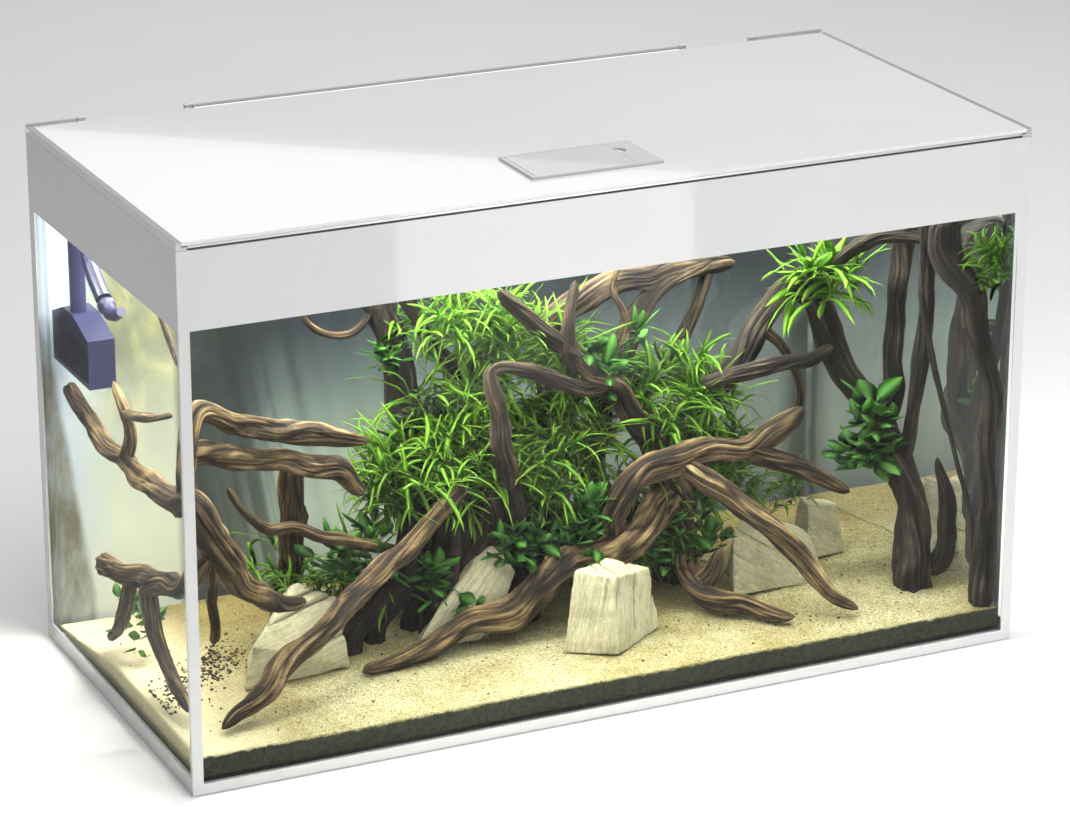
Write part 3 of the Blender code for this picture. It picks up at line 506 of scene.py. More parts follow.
LEFT_BRANCHES = metres(
    ((-476, 205, 312, 8), (-476, 100, 290, 10), (-474, 20, 284, 11), (-472, -80, 286, 13),
     (-470, -150, 296, 14.5), (-466, -190, 302, 15), (-449, -180, 261, 15.8), (-413, -150, 200, 14.9),
     (-365, -120, 158, 11.9), (-311, -95, 135, 6.6)),
    ((-470, -150, 298, 10), (-470, -162, 350, 11), (-452, -150, 388, 10.5), (-403, -120, 363, 11.6),
     (-320, -80, 327, 12.9), (-250, -50, 302, 9.8), (-206, -30, 283, 5.5)),
    ((-471, -160, 352, 10), (-404, -120, 325, 12), (-321, -80, 290, 13), (-261, -60, 268, 10.9),
     (-221, -50, 232, 5.5)),
    ((-308, -76, 290, 10.5), (-304, -40, 233, 14.3), (-287, 20, 149, 14.6), (-275, 65, 68, 16)),
    ((-165, -20, 135, 6.5), (-215, -48, 166, 6.8), (-255, -72, 190, 6.8), (-290, -88, 205, 6.6),
     (-322, -98, 226, 6.4), (-356, -100, 231, 6), (-383, -100, 254, 4.8), (-401, -100, 284, 3)),
    ((-440, -170, 245, 6), (-418, -100, 210, 5), (-392, -20, 122, 5.5), (-373, 34, 46, 5.6)),
    ((-476, 110, 135, 8), (-476, 50, 147, 11), (-474, -40, 170, 12), (-470, -140, 195, 12),
     (-454, -180, 240, 11)),
    ((-475, -5, 158, 8), (-475, 55, 80, 7.5), (-475, 100, 46, 6)),
    ((-473, -45, 168, 8), (-472, -75, 90, 8), (-468, -150, 55, 6)),
    ((-474, 15, 288, 6), (-475, -5, 320, 6.5), (-475, 10, 350, 6), (-475, 45, 370, 3.5)),
    ((-475, 8, 344, 5), (-475, -60, 362, 5), (-475, -140, 390, 3.5)))

RIGHT_BRANCHES = metres(
    ((226, 0, 256, 11.5), (275, 10, 300, 15), (312, 20, 338, 15.1), (350, 28, 366, 13),
     (378, 20, 351, 15.2), (391, 10, 305, 16.4), (411, -10, 263, 16.4), (436, -40, 206, 17.6),
     (436, -90, 155, 18.7), (436, -120, 90, 19.9), (430, -132, 56, 20)),
    ((208, -20, 285, 6.9), (253, -20, 290, 8.5), (305, -22, 297, 9), (354, -20, 295, 8.5),
     (392, 0, 298, 7)),
    ((432, -126, 70, 12), (458, -138, 62, 13), (472, -142, 90, 11.5), (470, -142, 140, 8.5),
     (458, -135, 195, 4.6)),
    ((436, -55, 190, 10), (444, -50, 250, 12), (444, -58, 366, 11.5), (450, -60, 440, 12.5),
     (452, -60, 505, 12.5)),
    ((438, -78, 180, 8), (448, -92, 210, 8.5), (436, -128, 352, 8.5), (434, -138, 455, 8.8),
     (434, -138, 505, 9)),
    ((374, 20, 356, 8), (386, -20, 410, 7.8), (402, -50, 437, 8.2), (424, -60, 447, 8.4),
     (450, -72, 449, 7.8), (470, -88, 439, 6.2), (477, -95, 418, 4)))

DARK_BRANCHES = metres(
    ((-163, 80, 450, 14.6), (-132, 80, 350, 18.1), (-118, 80, 282, 19.3), (-99, 80, 206, 20.6),
     (-88, 65, 113, 20.7), (-85, 55, 62, 20)),
    ((-124, 72, 420, 7.8), (-90, 68, 349, 8.5), (-62, 60, 303, 8), (-92, 74, 230, 11)))

UPPER_BRANCHES = metres(
    ((112, 75, 50, 14), (115, 66, 180, 13), (125, 55, 265, 12), (150, 52, 313, 11.5),
     (165, 52, 349, 11.5), (201, 55, 385, 11.5), (262, 58, 404, 9.3)),
    ((30, 60, 349, 13), (119, 60, 384, 13.8), (182, 60, 395, 13.8), (293, 60, 397, 11)),
    ((222, 60, 311, 6), (245, 60, 357, 7), (262, 60, 398, 7)))

RIGHT_STEM = metres(
    ((424, -186, 500, 16.5), (434, -190, 462, 17), (451, -198, 412, 16.5), (467, -206, 360, 14.5),
     (474, -210, 310, 12.5), (477, -212, 250, 10.5), (479, -212, 190, 9), (476, -210, 120, 11.5),
     (472, -208, 62, 14)))

# Twigs, each a piece of its own
THIN_ROOTS = metres(
    ((428, -130, 400, 3), (432, -140, 370, 3.4), (449, -150, 283, 3.4), (461, -170, 203, 3.2),
     (472, -190, 139, 2.8), (474, -200, 60, 2.4)),
    ((100, 0, 300, 5), (135, 20, 350, 4.5), (120, 30, 400, 3.5), (140, 30, 440, 2.2)),
    ((300, 15, 330, 6), (330, 0, 300, 5.5), (345, -10, 250, 4.5), (340, 10, 190, 3.5)),
    ((-155, 75, 400, 5.2), (-180, 70, 378, 5), (-203, 70, 374, 4.6), (-226, 70, 384, 4),
     (-241, 70, 401, 3.2), (-246, 70, 425, 2.2)),
    ((-476, -110, 505, 4), (-478, -150, 478, 3.6), (-480, -181, 457, 2)))

# Dark roots that stand behind the front leaves
STUMP = metres(
    ((-100, -10, 215, 16), (-95, -22, 165, 19), (-105, -28, 110, 19), (-125, -30, 60, 18)),
    ((-60, -20, 205, 15), (-66, -28, 160, 17), (-85, -26, 110, 16), (-95, -28, 60, 15)),
    ((-140, -10, 190, 12), (-155, -18, 140, 14), (-170, -20, 95, 13), (-200, -22, 60, 12)),
    ((-40, -22, 215, 14), (-30, -30, 170, 16), (-20, -28, 120, 16), (-15, -30, 60, 15)),
    ((-160, -20, 110, 11), (-205, -30, 80, 12), (-235, -35, 56, 11.5)))

# A branch that ends this low and this thick runs down into the sand, to this height over its foot
PLANT_BELOW = 0.072
PLANT_RADIUS = 0.0105
PLANT_END = 0.008
# Distance between the rings of a branch
RING_STEP = 0.0045


def sweep(points, seed, flare):
    """One grooved, lobed branch along its points: vertices, faces, grain coordinates, groove depth."""
    points = list(points)
    planted = points[-1][2] < PLANT_BELOW and points[-1][3] > PLANT_RADIUS
    if planted:
        points.append((points[-1][0], points[-1][1], SAND_FOOT + PLANT_END, points[-1][3] * 1.15))
    if points[0][2] < PLANT_BELOW and points[0][3] > PLANT_RADIUS:
        points.insert(0, (points[0][0], points[0][1], SAND_FOOT + PLANT_END, points[0][3] * 1.15))
    path = curve_path(points, RING_STEP)
    places, radii = path[:, :3], path[:, 3].copy()
    lengths = np.concatenate([[0], np.cumsum(np.linalg.norm(np.diff(places, axis=0), axis=1))])
    if flare:
        radii *= 1 + 0.45 * np.exp(-lengths / 0.014)
    total = lengths[-1]
    thick = float(np.max(radii))
    if not planted:
        tip = np.clip((total - lengths) / (3.0 * radii[-1]), 0, 1)
        radii *= 0.1 + 0.9 * (1 - (1 - tip) ** 2) ** 0.6
    root = np.clip(lengths / (0.8 * radii[0]), 0, 1)
    radii *= np.sqrt(1 - (1 - root) ** 2 * 0.97)
    around = 72 if thick > 0.012 else 56 if thick > 0.0085 else 32 if thick > 0.0055 else 16
    side = None
    vertices, grain, groove = [], [], []
    offset = Vector((seed * 7.31, seed * 3.17, seed * 1.93))
    for index, (place, radius) in enumerate(zip(places, radii)):
        ahead = places[min(index + 1, len(places) - 1)]
        behind = places[max(index - 1, 0)]
        along = Vector(ahead - behind).normalized()
        side = along.orthogonal().normalized() if side is None else side
        side = (side - along * side.dot(along)).normalized()
        across = along.cross(side)
        s = float(lengths[index])
        # noise_vector isn't used, because its offsets differ from run to run
        wander = Vector([noise.noise(Vector((s * 15, seed * 5.0, level))) for level in (0.4, 17.3, 41.9)])
        centre = Vector(place) + wander * radius * 0.6
        wave = noise.noise(Vector((s * 16, seed * 3.0, 4.0))) * 0.55
        for turn in range(around):
            angle = math.tau * turn / around
            twist = angle + s * 5.0 + wave
            c, w = math.cos(twist), math.sin(twist)
            lobe = noise.noise(Vector((c * 0.9, w * 0.9, s * 14)) + offset)
            knot = noise.noise(Vector((c * 1.4, w * 1.4, s * 45)) + offset * 2)
            ridge = 1 - abs(noise.noise(Vector((c * 2.7, w * 2.7, s * 9)) + offset * 3)) * 2.6
            fine = 1 - abs(noise.noise(Vector((c * 6.0, w * 6.0, s * 15)) + offset * 5)) * 2.4
            fold = 1 - abs(noise.noise(Vector((c * 1.2, w * 1.2, s * 9)) + offset * 4)) * 3.0
            depth = max(0.0, ridge) ** 2 * 0.6 + max(0.0, fine) ** 2 * 0.4 + max(0.0, fold) ** 2.5 * 0.65
            swell = 1.1 + 0.42 * lobe + 0.12 * knot - 0.3 * depth
            point = centre + (side * math.cos(angle) + across * math.sin(angle)) * radius * swell
            vertices.append(point)
            grain.append((c, w, s * 10 + seed))
            groove.append(max(0.0, 1 - depth * 1.15 + 0.35 * knot))
    return vertices, tube(len(places), around), grain, groove


def wood_piece(name, branches, material, seed, replaced=()):
    """Branches as one piece, kept inside the panes."""
    vertices, faces, grain, groove = [], [], [], []
    for index, points in enumerate(branches):
        part = sweep(points, seed + index * 1.7, index > 0)
        start = len(vertices)
        vertices += part[0]
        faces += [tuple(start + corner for corner in face) for face in part[1]]
        grain += part[2]
        groove += part[3]
    limit_x, limit_y = INNER_X - PANE_GAP, INNER_Y - PANE_GAP
    for point in vertices:
        point.x = min(max(point.x, -limit_x), limit_x)
        point.y = min(max(point.y, -limit_y), limit_y)
        point.z = max(point.z, SAND_FOOT + PANE_GAP)
    item = mesh_object(name, vertices, faces, material, grain=np.array(grain), groove=np.array(groove))
    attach(item, "tank")
    if replaced:
        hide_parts(*replaced)


def tangle():
    """Dark roots heaped behind the plants, from the sand up to the trunk."""
    branches = []
    count = 26
    for index in range(count):
        x = -0.19 + 0.42 * (index + 0.5) / count + rng.normal(0, 0.012)
        y = rng.uniform(-0.005, 0.055)
        z = rng.uniform(0.045, 0.075)
        radius = rng.uniform(0.008, 0.016)
        heading = np.array((rng.normal(0, 0.8), rng.normal(0, 0.25), 0.9))
        points = []
        top = 0.1 + 0.09 * math.exp(-((x - 0.03) / 0.12) ** 2)
        for _ in range(5):
            points.append((x, min(max(y, -0.02), 0.07), z, radius))
            heading = heading + rng.normal(0, 0.35, 3)
            way = heading / np.linalg.norm(heading)
            x, y, z = x + way[0] * 0.03, y + way[1] * 0.02, min(z + abs(way[2]) * 0.03, top)
            radius *= 0.86
        branches.append(tuple(points))
    return tuple(branches)


# Stones: corners of the foot, then of the top, in millimetres, and the direction across the layers

STONES = (
    ("stone_left", (
        (-383, -88, 40.5), (-254, -80, 40.5), (-250, -15, 40.5), (-350, -10, 40.5), (-368, -80, 86),
        (-322, -92, 74), (-262, -72, 98), (-300, -40, 134), (-257, -45, 113), (-300, -15, 122)),
     (-0.25, 0.35, 0.9)),
    ("stone_slab", (
        (-168, -68, 40.5), (-85, -70, 40.5), (-75, -30, 40.5), (-150, -30, 40.5), (-68, -52, 143),
        (-41, -56, 110), (-104, -54, 114), (-146, -60, 74), (-75, -26, 135), (-60, -66, 80)),
     (-0.75, 0.2, 0.6)),
    ("stone_center", (
        (-24, -143, 40.5), (30, -176, 40.5), (108, -122, 40.5), (50, -94, 40.5), (-4, -130, 130),
        (36, -152, 124), (96, -116, 112), (50, -100, 126)),
     (0.93, 0.2, -0.25)),
    ("stone_right", (
        (225, -80, 40.5), (345, -78, 40.5), (360, -25, 40.5), (245, -20, 40.5), (232, -62, 108),
        (310, -66, 112), (345, -40, 85), (262, -28, 118)),
     (0.55, 0.1, 0.8)),
    ("stone_back", (
        (358, -15, 40.5), (408, -12, 40.5), (412, 35, 40.5), (362, 35, 40.5), (362, -4, 104),
        (402, -4, 100), (405, 28, 94), (366, 26, 106)),
     (0.4, 0.1, 0.9)),
    ("stone_corner", (
        (455, -86, 40.5), (487, -84, 40.5), (487, -40, 40.5), (458, -42, 40.5), (462, -78, 130),
        (484, -76, 142), (484, -48, 136), (464, -50, 124)),
     (0.8, 0.1, 0.6)),
)


STONE_VOXEL = 0.0017


def stone_piece(name, corners, across, material, seed):
    """A broken block: hull of its corners, remeshed, with split layers, chipped edges and cracks."""
    shape = bmesh.new()
    for corner in corners:
        shape.verts.new(metre(*corner))
    hull = bmesh.ops.convex_hull(shape, input=shape.verts)
    loose = [item for item in hull["geom_interior"] if isinstance(item, bmesh.types.BMVert)]
    bmesh.ops.delete(shape, geom=loose, context="VERTS")
    bmesh.ops.recalc_face_normals(shape, faces=shape.faces)
    mesh = bpy.data.meshes.new(name + "_look")
    shape.to_mesh(mesh)
    shape.free()
    item = add_object(name + "_look", mesh)
    remesh = item.modifiers.new("cut", "REMESH")
    remesh.mode = "VOXEL"
    remesh.voxel_size = STONE_VOXEL
    bpy.context.view_layer.update()
    made = bpy.data.meshes.new_from_object(item.evaluated_get(bpy.context.evaluated_depsgraph_get()))
    item.modifiers.clear()
    item.data = made
    across = Vector(across).normalized()
    layers, cracks = [], []
    offset = Vector((seed, seed * 2, seed * 3))
    normals = [vertex.normal.copy() for vertex in made.vertices]
    for vertex, normal in zip(made.vertices, normals):
        p = vertex.co
        warp = noise.noise(p * 18 + offset) * 0.004
        layer = p.dot(across) + warp
        split = noise.noise(Vector((layer * 130, 0.3, seed)))
        coarse = noise.fractal(p * 34 + offset, 1.0, 2.0, 4)
        chips = noise.cell(p * 60 + offset)
        gap = 1 - abs(noise.noise(Vector((layer * 26 + seed, 0.1, 0.2)))) * 16
        crack = max(0.0, gap) ** 2 * max(0.0, min(1.0, 0.5 + noise.noise(p * 11 + offset) * 3))
        push = 0.0006 * split + 0.0018 * coarse + 0.0003 * chips - 0.004 * crack
        vertex.co = p + normal * push
        vertex.co.x = min(vertex.co.x, INNER_X - 0.002)
        layers.append(layer * 10 + seed)
        cracks.append(min(1.0, crack * 0.9))
    for key, values in (("layer", layers), ("crack", cracks)):
        made.attributes.new(key, "FLOAT", "POINT").data.foreach_set("value", np.array(values, np.float32))
    made.shade_smooth()
    made.materials.clear()
    made.materials.append(material)
    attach(item, "tank")
    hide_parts(name)


# Sand

def sand_height(x, y):
    """Level along the front, gentle mounds, falling away behind the roots."""
    base = SAND_TOP if y < 0.04 else SAND_TOP - (y - 0.04) * 0.126
    ripple = noise.noise(Vector((x * 7, y * 7, 0.0))) * 0.0045
    ripple += noise.noise(Vector((x * 24, y * 24, 3.0))) * 0.0016
    fade = min(1.0, (y + INNER_Y) / 0.05)
    return base + ripple * (0.25 + 0.75 * fade) + noise.noise(Vector((x * 160, y * 160, 7.0))) * 0.0005


def sand_piece(material):
    """A closed bed: its top is a grid, its sides go down in layers, and the front side knows its depth."""
    gap = 0.0006
    reach_x, reach_y = INNER_X - gap, INNER_Y - gap
    columns, rows, layers = 300, 140, 7
    xs = np.linspace(-reach_x, reach_x, columns)
    ys = np.linspace(-reach_y, reach_y, rows)
    vertices, depth = [], []
    for y in ys:
        for x in xs:
            vertices.append((x, y, sand_height(float(x), float(y))))
            depth.append(0.0)
    faces = quads(rows, columns, closed=False)
    border = list(range(columns))
    border += [r * columns + columns - 1 for r in range(1, rows)]
    border += [(rows - 1) * columns + c for c in range(columns - 2, -1, -1)]
    border += [r * columns for r in range(rows - 2, 0, -1)]
    previous = border
    for layer in range(1, layers + 1):
        share = layer / layers
        ring = []
        for index in border:
            x, y, z = vertices[index]
            ring.append(len(vertices))
            vertices.append((x, y, z + (SAND_FOOT - z) * share))
            depth.append((z - SAND_FOOT) * share if y < -reach_y + gap else 0.0)
        for a in range(len(border)):
            b = (a + 1) % len(border)
            faces.append((previous[b], previous[a], ring[a], ring[b]))
        previous = ring
    faces.append(tuple(previous)[::-1])
    item = mesh_object("sand_look", vertices, faces, material, depth=np.array(depth))
    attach(item, "tank")
    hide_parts("sand_bed")


PEBBLES = 900
PATCH_PEBBLES = 380


def pebbles(material):
    """Loose gravel on the sand. The first ones are larger and dark, in one patch at the left."""
    cube = np.array([(x, y, z) for x in (-1, 1) for y in (-1, 1) for z in (-1, 1)], float) / math.sqrt(3)
    tips = np.array([(1, 0, 0), (-1, 0, 0), (0, 1, 0), (0, -1, 0), (0, 0, 1), (0, 0, -1)], float)
    shell = np.vstack([cube, tips * 1.02])
    rings = ((4, 6, 7, 5), (0, 1, 3, 2), (2, 3, 7, 6), (0, 4, 5, 1), (1, 5, 7, 3), (0, 2, 6, 4))
    vertices, faces, tone = [], [], []
    for index in range(PEBBLES):
        in_patch = index < PATCH_PEBBLES
        if in_patch:
            along = rng.uniform(0, 1)
            x = -0.35 - 0.125 * along + rng.normal(0, 0.012)
            y = 0.03 - 0.11 * along + rng.normal(0, 0.02)
        else:
            x = rng.uniform(-0.475, 0.475)
            y = rng.uniform(-0.22, 0.2)
        x = min(max(x, -0.478), 0.478)
        y = min(max(y, -0.222), 0.215)
        size = rng.uniform(0.0006, 0.0016) * (1.35 if in_patch else 1.0)
        turn = Matrix.Rotation(rng.uniform(0, 6.3), 3, "Z") @ Matrix.Rotation(rng.uniform(0, 6.3), 3, "X")
        stretch = rng.uniform(0.6, 1.3, 3)
        spot = np.array((x, y, sand_height(x, y) + size * 0.25))
        start = len(vertices)
        shaped = (shell * (1 + rng.uniform(-0.15, 0.15, (len(shell), 1)))) * stretch * size
        vertices += list(shaped @ np.array(turn).T + spot)
        shade = rng.uniform(0, 0.45 if in_patch else 1.0)
        tone += [shade] * len(shell)
        for tip, ring in enumerate(rings, start + len(cube)):
            for corner in range(4):
                faces.append((start + ring[corner], start + ring[(corner + 1) % 4], tip))
    item = mesh_object("gravel", vertices, faces, material, smooth=False, tone=np.array(tone))
    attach(item, "tank")


def gravel_material():
    """Small stones, each of its own tone."""
    paint = Paint("gravel_grains", roughness=0.8)
    tone = paint.attribute("tone")
    color = paint.tones(
        tone, (0.0, 40, 34, 24), (0.35, 92, 74, 46), (0.7, 160, 138, 96), (1.0, 214, 200, 160))
    speck = paint.noise(paint.place(), 600.0, 3.0)
    color = paint.mix(paint.step(speck, 0.35, 0.65, 0.0, 0.4), color, srgb(70, 60, 40))
    paint.set(base_color=color)
    paint.bump(speck, 0.0006, 0.6)
    return paint.material


# Foliage

# Outline of a leaf: share of its length, share of its width
BLADE = ((0.0, 0.2), (0.22, 0.75), (0.46, 1.0), (0.7, 0.8), (0.88, 0.42), (1.0, 0.03))
OVAL = ((0.0, 0.05), (0.22, 0.06), (0.34, 0.62), (0.52, 1.0), (0.7, 0.9), (0.88, 0.5), (1.0, 0.03))
LEAF_THICKNESS = 0.00018
LEAF_FOLD = 0.25


class Foliage:
    """Gathers leaves, each a thin closed solid with a keel under its midrib."""

    def __init__(self):
        self.points, self.faces, self.tone, self.along, self.rib = [], [], [], [], []

    def leaf(self, root, heading, rise, length, width, droop, outline, tone, sway):
        flat = np.array((math.cos(heading), math.sin(heading), 0.0))
        across = np.array((-math.sin(heading), math.cos(heading), 0.0))
        tilt = rng.uniform(-0.5, 0.5)
        place = np.array(root, float)
        start = len(self.points)
        previous = 0.0
        for share, wide in outline:
            run = (share - previous) * length
            angle = rise - droop * share
            forward = flat * math.cos(angle) + np.array((0, 0, 1.0)) * math.sin(angle)
            forward = forward + across * sway * math.sin(share * 3.0)
            forward /= np.linalg.norm(forward)
            place = place + forward * run
            previous = share
            up = np.cross(forward, across)
            up = -up / np.linalg.norm(up)
            out = across * math.cos(tilt) + up * math.sin(tilt)
            lift = up * math.cos(tilt) - across * math.sin(tilt)
            half = width * 0.5 * wide
            keel = LEAF_FOLD * half + LEAF_THICKNESS
            self.points += [place + out * half + lift * keel, place - out * half + lift * keel, place]
            self.tone += [tone] * 3
            self.along += [share] * 3
            self.rib += [0.0, 0.0, 1.0]
        self.faces += tube(len(outline), 3, start)

    def finish(self, name, material, replaced=()):
        points = np.array(self.points)
        inner = np.array((INNER_X - PANE_GAP, INNER_Y - PANE_GAP))
        points[:, :2] = np.clip(points[:, :2], -inner, inner)
        points[:, 2] = np.clip(points[:, 2], 0.02, 0.575)
        item = mesh_object(name, points, self.faces, material, tone=np.array(self.tone),
                           along=np.array(self.along), rib=np.array(self.rib))
        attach(item, "tank")
        if replaced:
            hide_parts(*replaced)


def tuft(plant, root, count, length, width, tone, outline, spread, rise):
    """Leaves that spring from one crown and arch outwards, long and short ones mixed."""
    first = rng.uniform(0, math.tau)
    for index in range(count):
        heading = first + index * 2.4 + rng.normal(0, 0.5)
        up = rise + rng.normal(0, 0.42)
        reach = length * rng.choice((0.5, 0.8, 1.0, 1.3)) * rng.uniform(0.85, 1.15)
        spot = np.array(root) + rng.normal(0, 0.0045, 3)
        shade = float(np.clip(tone + rng.normal(0, 0.2), 0, 1))
        plant.leaf(spot, heading, up, reach, width * rng.uniform(0.65, 1.3),
                   rng.uniform(0.4, 2.4) * spread, outline, shade, rng.normal(0, 0.5))


def bush(plant, centre, half, crowns, leaves, length, width, tone, outline=BLADE, rise=1.0, spread=1.0):
    """Crowns scattered through the outer part of an ellipsoid, with painted light: brighter towards the top
    and front.
    """
    centre, half = np.array(metre(*centre)), np.array(metre(*half))
    length, width = metre(length, width)
    core = 0.55
    made = 0
    while made < crowns:
        way = rng.normal(0, 1, 3)
        way /= np.linalg.norm(way)
        far = rng.uniform(core ** 3, 1) ** (1 / 3)
        root = centre + way * far * half
        lump = noise.noise(Vector(root * 26))
        if lump < rng.uniform(-0.35, 0.15):
            continue
        made += 1
        root = root + way * lump * 0.02
        # Painted light: leaves higher up and further to the front get a brighter tone
        shade = tone + 0.2 * way[2] * far - 0.1 * way[1] + 0.22 * noise.noise(Vector(root * 40 + 5))
        reach = length * (0.85 + 0.5 * max(0.0, lump))
        tuft(plant, root, leaves, reach, width, shade, outline, spread, rise + 0.3 * way[2])


# Bushes: centre, half sizes, crowns, leaves of a crown, leaf length, leaf width, tone; lengths in millimetres
GRASSES = (
    ("plants_left", (
        ((-118, 0, 218), (84, 55, 44), 120, 6, 56, 5.8, 0.44),
        ((-205, 5, 115), (50, 30, 32), 29, 6, 46, 5.6, 0.2),
        ((-290, 10, 120), (55, 30, 28), 24, 6, 42, 5.6, 0.34),
        ((-80, 30, 255), (70, 40, 45), 60, 6, 58, 5.8, 0.56))),
    ("plants_center", (
        ((20, 10, 198), (80, 45, 56), 97, 6, 56, 5.8, 0.33),
        ((15, 50, 290), (70, 26, 65), 103, 6, 58, 5.4, 0.56),
        ((105, 58, 230), (70, 20, 75), 67, 6, 50, 5.6, 0.36),
        ((20, 50, 330), (50, 20, 40), 28, 6, 85, 3.4, 0.66),
        ((-70, 50, 385), (75, 25, 26), 50, 6, 50, 4.8, 0.72))),
    ("plants_right", (
        ((190, 15, 260), (70, 34, 50), 83, 6, 58, 5.6, 0.62),
        ((245, 20, 165), (65, 38, 48), 70, 6, 52, 6, 0.4),
        ((150, 0, 125), (70, 34, 50), 70, 6, 48, 6, 0.28),
        ((330, 30, 120), (35, 25, 25), 21, 6, 34, 4.4, 0.3))),
    ("plants_crown", (
        ((385, 5, 375), (40, 28, 24), 23, 6, 62, 9, 0.54),)),
    ("plants_corner", (
        ((476, -205, 440), (10, 18, 26), 17, 6, 42, 6.2, 0.6),)),
)

BROADS = (
    ("plants_trunk", (
        ((400, -75, 212), (26, 16, 32), 19, 5, 40, 21, 0.28),)),
    ("anubias_dark", (
        ((-140, 55, 352), (24, 14, 18), 9, 5, 32, 14, 0.22),)),
    ("anubias_front", (
        ((-130, -46, 98), (20, 12, 36), 19, 4, 34, 18, 0.4),
        ((-22, -52, 142), (36, 14, 22), 22, 5, 34, 16, 0.36),
        ((40, -50, 140), (60, 16, 30), 30, 5, 32, 15, 0.32),
        ((110, 0, 320), (30, 16, 30), 12, 5, 34, 17, 0.34),
        ((170, -45, 100), (50, 16, 24), 18, 5, 30, 14, 0.26))),
    ("anubias_left", (
        ((-235, -30, 150), (55, 22, 22), 18, 4, 34, 17.5, 0.36),
        ((-455, 60, 75), (18, 30, 20), 7, 5, 26, 12, 0.55))),
)


def build_foliage():
    """Grass-like and broad-leaved plants. A plant without a CAD node of its name replaces nothing."""
    grass = leaf("leaf_blade", srgb(10, 28, 6), srgb(42, 98, 18), srgb(112, 178, 38), srgb(160, 206, 62))
    broad = leaf("leaf_broad", srgb(10, 32, 12), srgb(26, 78, 28), srgb(66, 134, 42), srgb(104, 168, 64))
    for name, groups in GRASSES:
        plant = Foliage()
        for group in groups:
            bush(plant, *group)
        plant.finish(name + "_look", grass, (name,))
    for name, groups in BROADS:
        plant = Foliage()
        for group in groups:
            bush(plant, *group, outline=OVAL, rise=0.8, spread=0.42)
        plant.finish(name + "_look" if name in nodes else name, broad, (name,) if name in nodes else ())


def build_wood():
    """Each piece has its own seed, so its grooves differ from the others'."""
    warm = wood("driftwood_tan", (18, 12, 7), (54, 39, 24), (106, 84, 54), (156, 133, 90), (202, 182, 132))
    deep = wood("driftwood_brown", (12, 9, 6), (36, 27, 19), (72, 57, 41), (114, 96, 70), (164, 144, 108))
    rough = wood("driftwood_bark", (8, 6, 5), (26, 20, 15), (52, 42, 32), (86, 73, 56), (140, 126, 100))
    cold = wood("driftwood_dark", (8, 6, 5), (24, 19, 16), (46, 38, 32), (74, 64, 53), (112, 101, 84))
    # The darkest copy of the wood is painted shade, for the roots heaped behind the plants
    shaded = wood("driftwood_umber_shaded", (6, 4, 3), (20, 13, 9), (38, 27, 19), (62, 46, 32), (96, 75, 54))
    wood_piece("wood_trunk", CENTER_BRANCHES[:3], deep, 1.0)
    wood_piece("wood_center", CENTER_BRANCHES[3:], warm, 11.0, ("driftwood_center",))
    wood_piece("wood_log", LEFT_LOG, warm, 31.0, ("driftwood_log",))
    wood_piece("wood_left", LEFT_BRANCHES, warm, 41.0, ("driftwood_left",))
    wood_piece("wood_right", RIGHT_BRANCHES[:3] + RIGHT_BRANCHES[5:], rough, 71.0, ("driftwood_right",))
    wood_piece("wood_columns", RIGHT_BRANCHES[3:5], cold, 81.0)
    wood_piece("wood_dark", DARK_BRANCHES, cold, 91.0, ("driftwood_dark",))
    wood_piece("wood_upper", UPPER_BRANCHES, deep, 101.0, ("driftwood_upper",))
    wood_piece("wood_stem", RIGHT_STEM, cold, 121.0, ("driftwood_stem",))
    wood_piece("wood_tangle", tangle() + STUMP, shaded, 201.0)
    for index, points in enumerate(THIN_ROOTS):
        wood_piece("wood_root_%d" % (index + 1), (points,), cold if index == 0 else warm, 131.0 + index * 3)


def build_stones():
    stone = rock()
    for index, (name, corners, across) in enumerate(STONES):
        stone_piece(name, corners, across, stone, 3.0 + index * 5)


def paint_tank():
    """Materials of the CAD nodes that stay visible."""
    give(pane_glass(), "front_pane", "back_pane", "left_pane", "right_pane", "bottom_pane",
         "front_brace", "rear_brace")
    give(lacquer("lacquer_white", 0.7), "front_frame")
    # Painted shade: the side frames have the front's white lacquer at a darker level, for the shade on the
    # sides
    give(lacquer("lacquer_white_shaded_side", 0.46), "left_frame", "right_frame")
    give(lacquer("lid_white_glass", 0.82, rough=0.05), "lid_panel")
    give(lacquer("hatch_white", 0.63, rough=0.22), "feeder_bezel", "feeder_flap")
    give(metal("anodised_light", (0.62, 0.62, 0.63), (0.74, 0.74, 0.75)),
         "lid_front_strip", "lid_hinge_profile", "rear_rail_left", "rear_rail_middle", "rear_rail_right",
         "rail_cap_1", "rail_cap_2", "rail_cap_3", "rail_cap_4", "lamp_housing_front", "lamp_housing_rear")
    give(metal("anodised_side", (0.55, 0.55, 0.56), (0.68, 0.68, 0.69), along=(180.0, 2.0, 180.0)),
         "left_trim", "right_trim")
    give(backdrop(), "rear_panel")
    give(clear_silicone(), "silicone_seal")
    give(lens_glow(), "lamp_lens_front", "lamp_lens_rear")
    give(plastic("bracket_clear", (0.8, 0.8, 0.8), (0.88, 0.88, 0.88), 0.3),
         "lamp_bracket_left", "lamp_bracket_right")
    give(plastic("filter_navy", srgb(16, 17, 48), srgb(30, 32, 72), 0.42, 90.0),
         "intake_pipe", "intake_strainer", "strainer_cap", "outlet_pipe", "outlet_nozzle")
    give(plastic("cup_rubber", (0.03, 0.03, 0.035), (0.06, 0.06, 0.07), 0.6),
         "suction_cup_intake", "suction_cup_outlet")


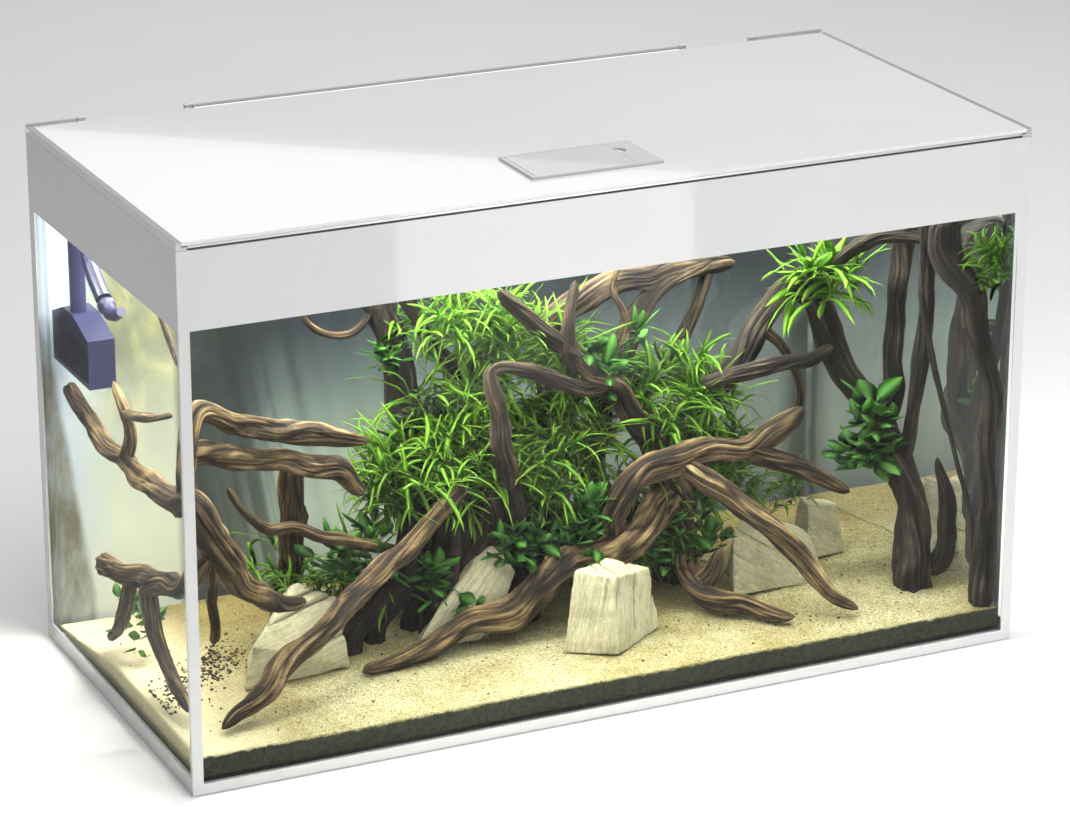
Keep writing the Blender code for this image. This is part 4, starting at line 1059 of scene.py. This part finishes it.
def ball_joint():
    """Grooved ball that fills the bend between the outlet pipe and its nozzle."""
    centre = Vector(NOZZLE_PIVOT)
    around, rows = 32, 25
    points = []
    for row in range(rows):
        fall = math.pi * (row + 0.5) / rows
        groove = 0.0006 * math.exp(-((fall - math.pi / 2) / 0.1) ** 2)
        for column in range(around):
            turn = math.tau * column / around
            ring = math.sin(fall)
            way = Vector((math.cos(fall), ring * math.cos(turn), ring * math.sin(turn)))
            points.append(centre + way * (BALL_RADIUS - groove))
    plain = nodes["outlet_nozzle"].data.materials[0]
    item = mesh_object("nozzle_ball", points, tube(rows, around), plain)
    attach(item, "nozzle")


# Studio

def area(name, place, target, size, power, color=(1.0, 1.0, 1.0)):
    """A rectangular light that the camera doesn't see."""
    data = bpy.data.lights.new(name, "AREA")
    data.shape = "RECTANGLE"
    data.size, data.size_y = size
    data.energy = power
    data.color = color
    item = add_object(name, data)
    item.location = place
    item.rotation_euler = (Vector(target) - Vector(place)).to_track_quat("-Z", "Y").to_euler()
    item.visible_camera = False
    return item


def gasket():
    """Dark foam strip that closes the gap between the front pane and the lid; its dark colour is also painted
    shade for that gap.
    """
    foot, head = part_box("front_pane")[1].z + 0.0004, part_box("lid_front_strip")[0].z
    low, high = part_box("lid_front_strip")
    columns = 120
    points = []
    for x in np.linspace(low.x, high.x, columns):
        sag = 0.00015 * noise.noise(Vector((float(x) * 40, 0.0, 0.0)))
        front = low.y + 0.0014 + sag
        points += [(x, front, foot), (x, front, head), (x, high.y, head), (x, high.y, foot)]
    foam = plastic("gasket_foam_shade", srgb(58, 60, 62), srgb(84, 86, 88), 0.8)
    item = mesh_object("lid_gasket_shade", points, tube(columns, 4), foam, smooth=False)
    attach(item, "lid")


def build_studio():
    """Soft white studio. The view transform shows surface colours as they are."""
    bpy.context.scene.view_settings.view_transform = "Standard"
    world = bpy.data.worlds.new("studio")
    bpy.context.scene.world = world
    world.use_nodes = True
    world.node_tree.nodes["Background"].inputs["Color"].default_value = (1.0, 1.0, 1.0, 1.0)
    world.node_tree.nodes["Background"].inputs["Strength"].default_value = WORLD_LIGHT
    floor_paint = Paint("studio_floor", roughness=0.9)
    tone = floor_paint.noise(floor_paint.place(), 3.0)
    floor_paint.set(base_color=floor_paint.ramp(tone, [(0.3, (0.9, 0.9, 0.9)), (0.7, (0.92, 0.92, 0.92))]))
    floor = mesh_object("floor", [(-9, -9, 0), (9, -9, 0), (9, 9, 0), (-9, 9, 0)], [(0, 1, 2, 3)],
                        floor_paint.material, smooth=False)
    area("top", (0.6, -0.8, 3.2), (0.3, -0.4, 0.0), (4.0, 4.0), 96.0)
    area("key", (1.4, -2.6, 2.2), (0, 0, 0.3), (1.8, 1.4), 10.0)
    # Softboxes that show as paler patches in the lid and in the front border
    sheen = area("lid_sheen", (0.892, 2.903, 1.63), (0.892, 2.903, 0.0), (2.0, 0.9), 4.2)
    sheen.rotation_euler = (0.0, 0.0, math.radians(-38.8))
    area("front_sheen", (0.335, -1.14, 0.26), (0.335, 0.0, 0.26), (0.43, 0.46), 1.25)
    # Two lights in each lamp bar, and one for what the lamps throw on the left end
    for row, y in (("front", -0.06), ("rear", 0.1)):
        for side, x in (("left", -0.225), ("right", 0.225)):
            lamp = area("lamp_%s_%s" % (row, side), (x, y, 0.576), (x, y, 0.0),
                        (0.42, 0.024), 2.6, (1.0, 1.0, 0.93))
            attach(lamp, "lid")
    spill = area("lamp_spill_left", (-0.415, -0.02, 0.572), (-0.415, -0.02, 0.0),
                 (0.12, 0.34), 1.8, (1.0, 0.97, 0.84))
    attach(spill, "lid")


def build_camera():
    """The photo's view."""
    data = bpy.data.cameras.new("camera")
    data.lens = CAMERA_LENS
    data.sensor_width = 36.0
    data.sensor_fit = "HORIZONTAL"
    data.clip_end = 60.0
    item = add_object("camera", data)
    item.location = CAMERA_PLACE
    item.rotation_euler = (math.radians(CAMERA_TILT), 0.0, math.radians(CAMERA_TURN))
    bpy.context.scene.camera = item


build_camera()
build_studio()
paint_tank()
sand_piece(sand_grains())
pebbles(gravel_material())
gasket()
ball_joint()
build_wood()
build_stones()
build_foliage()

bpy.context.view_layer.update()
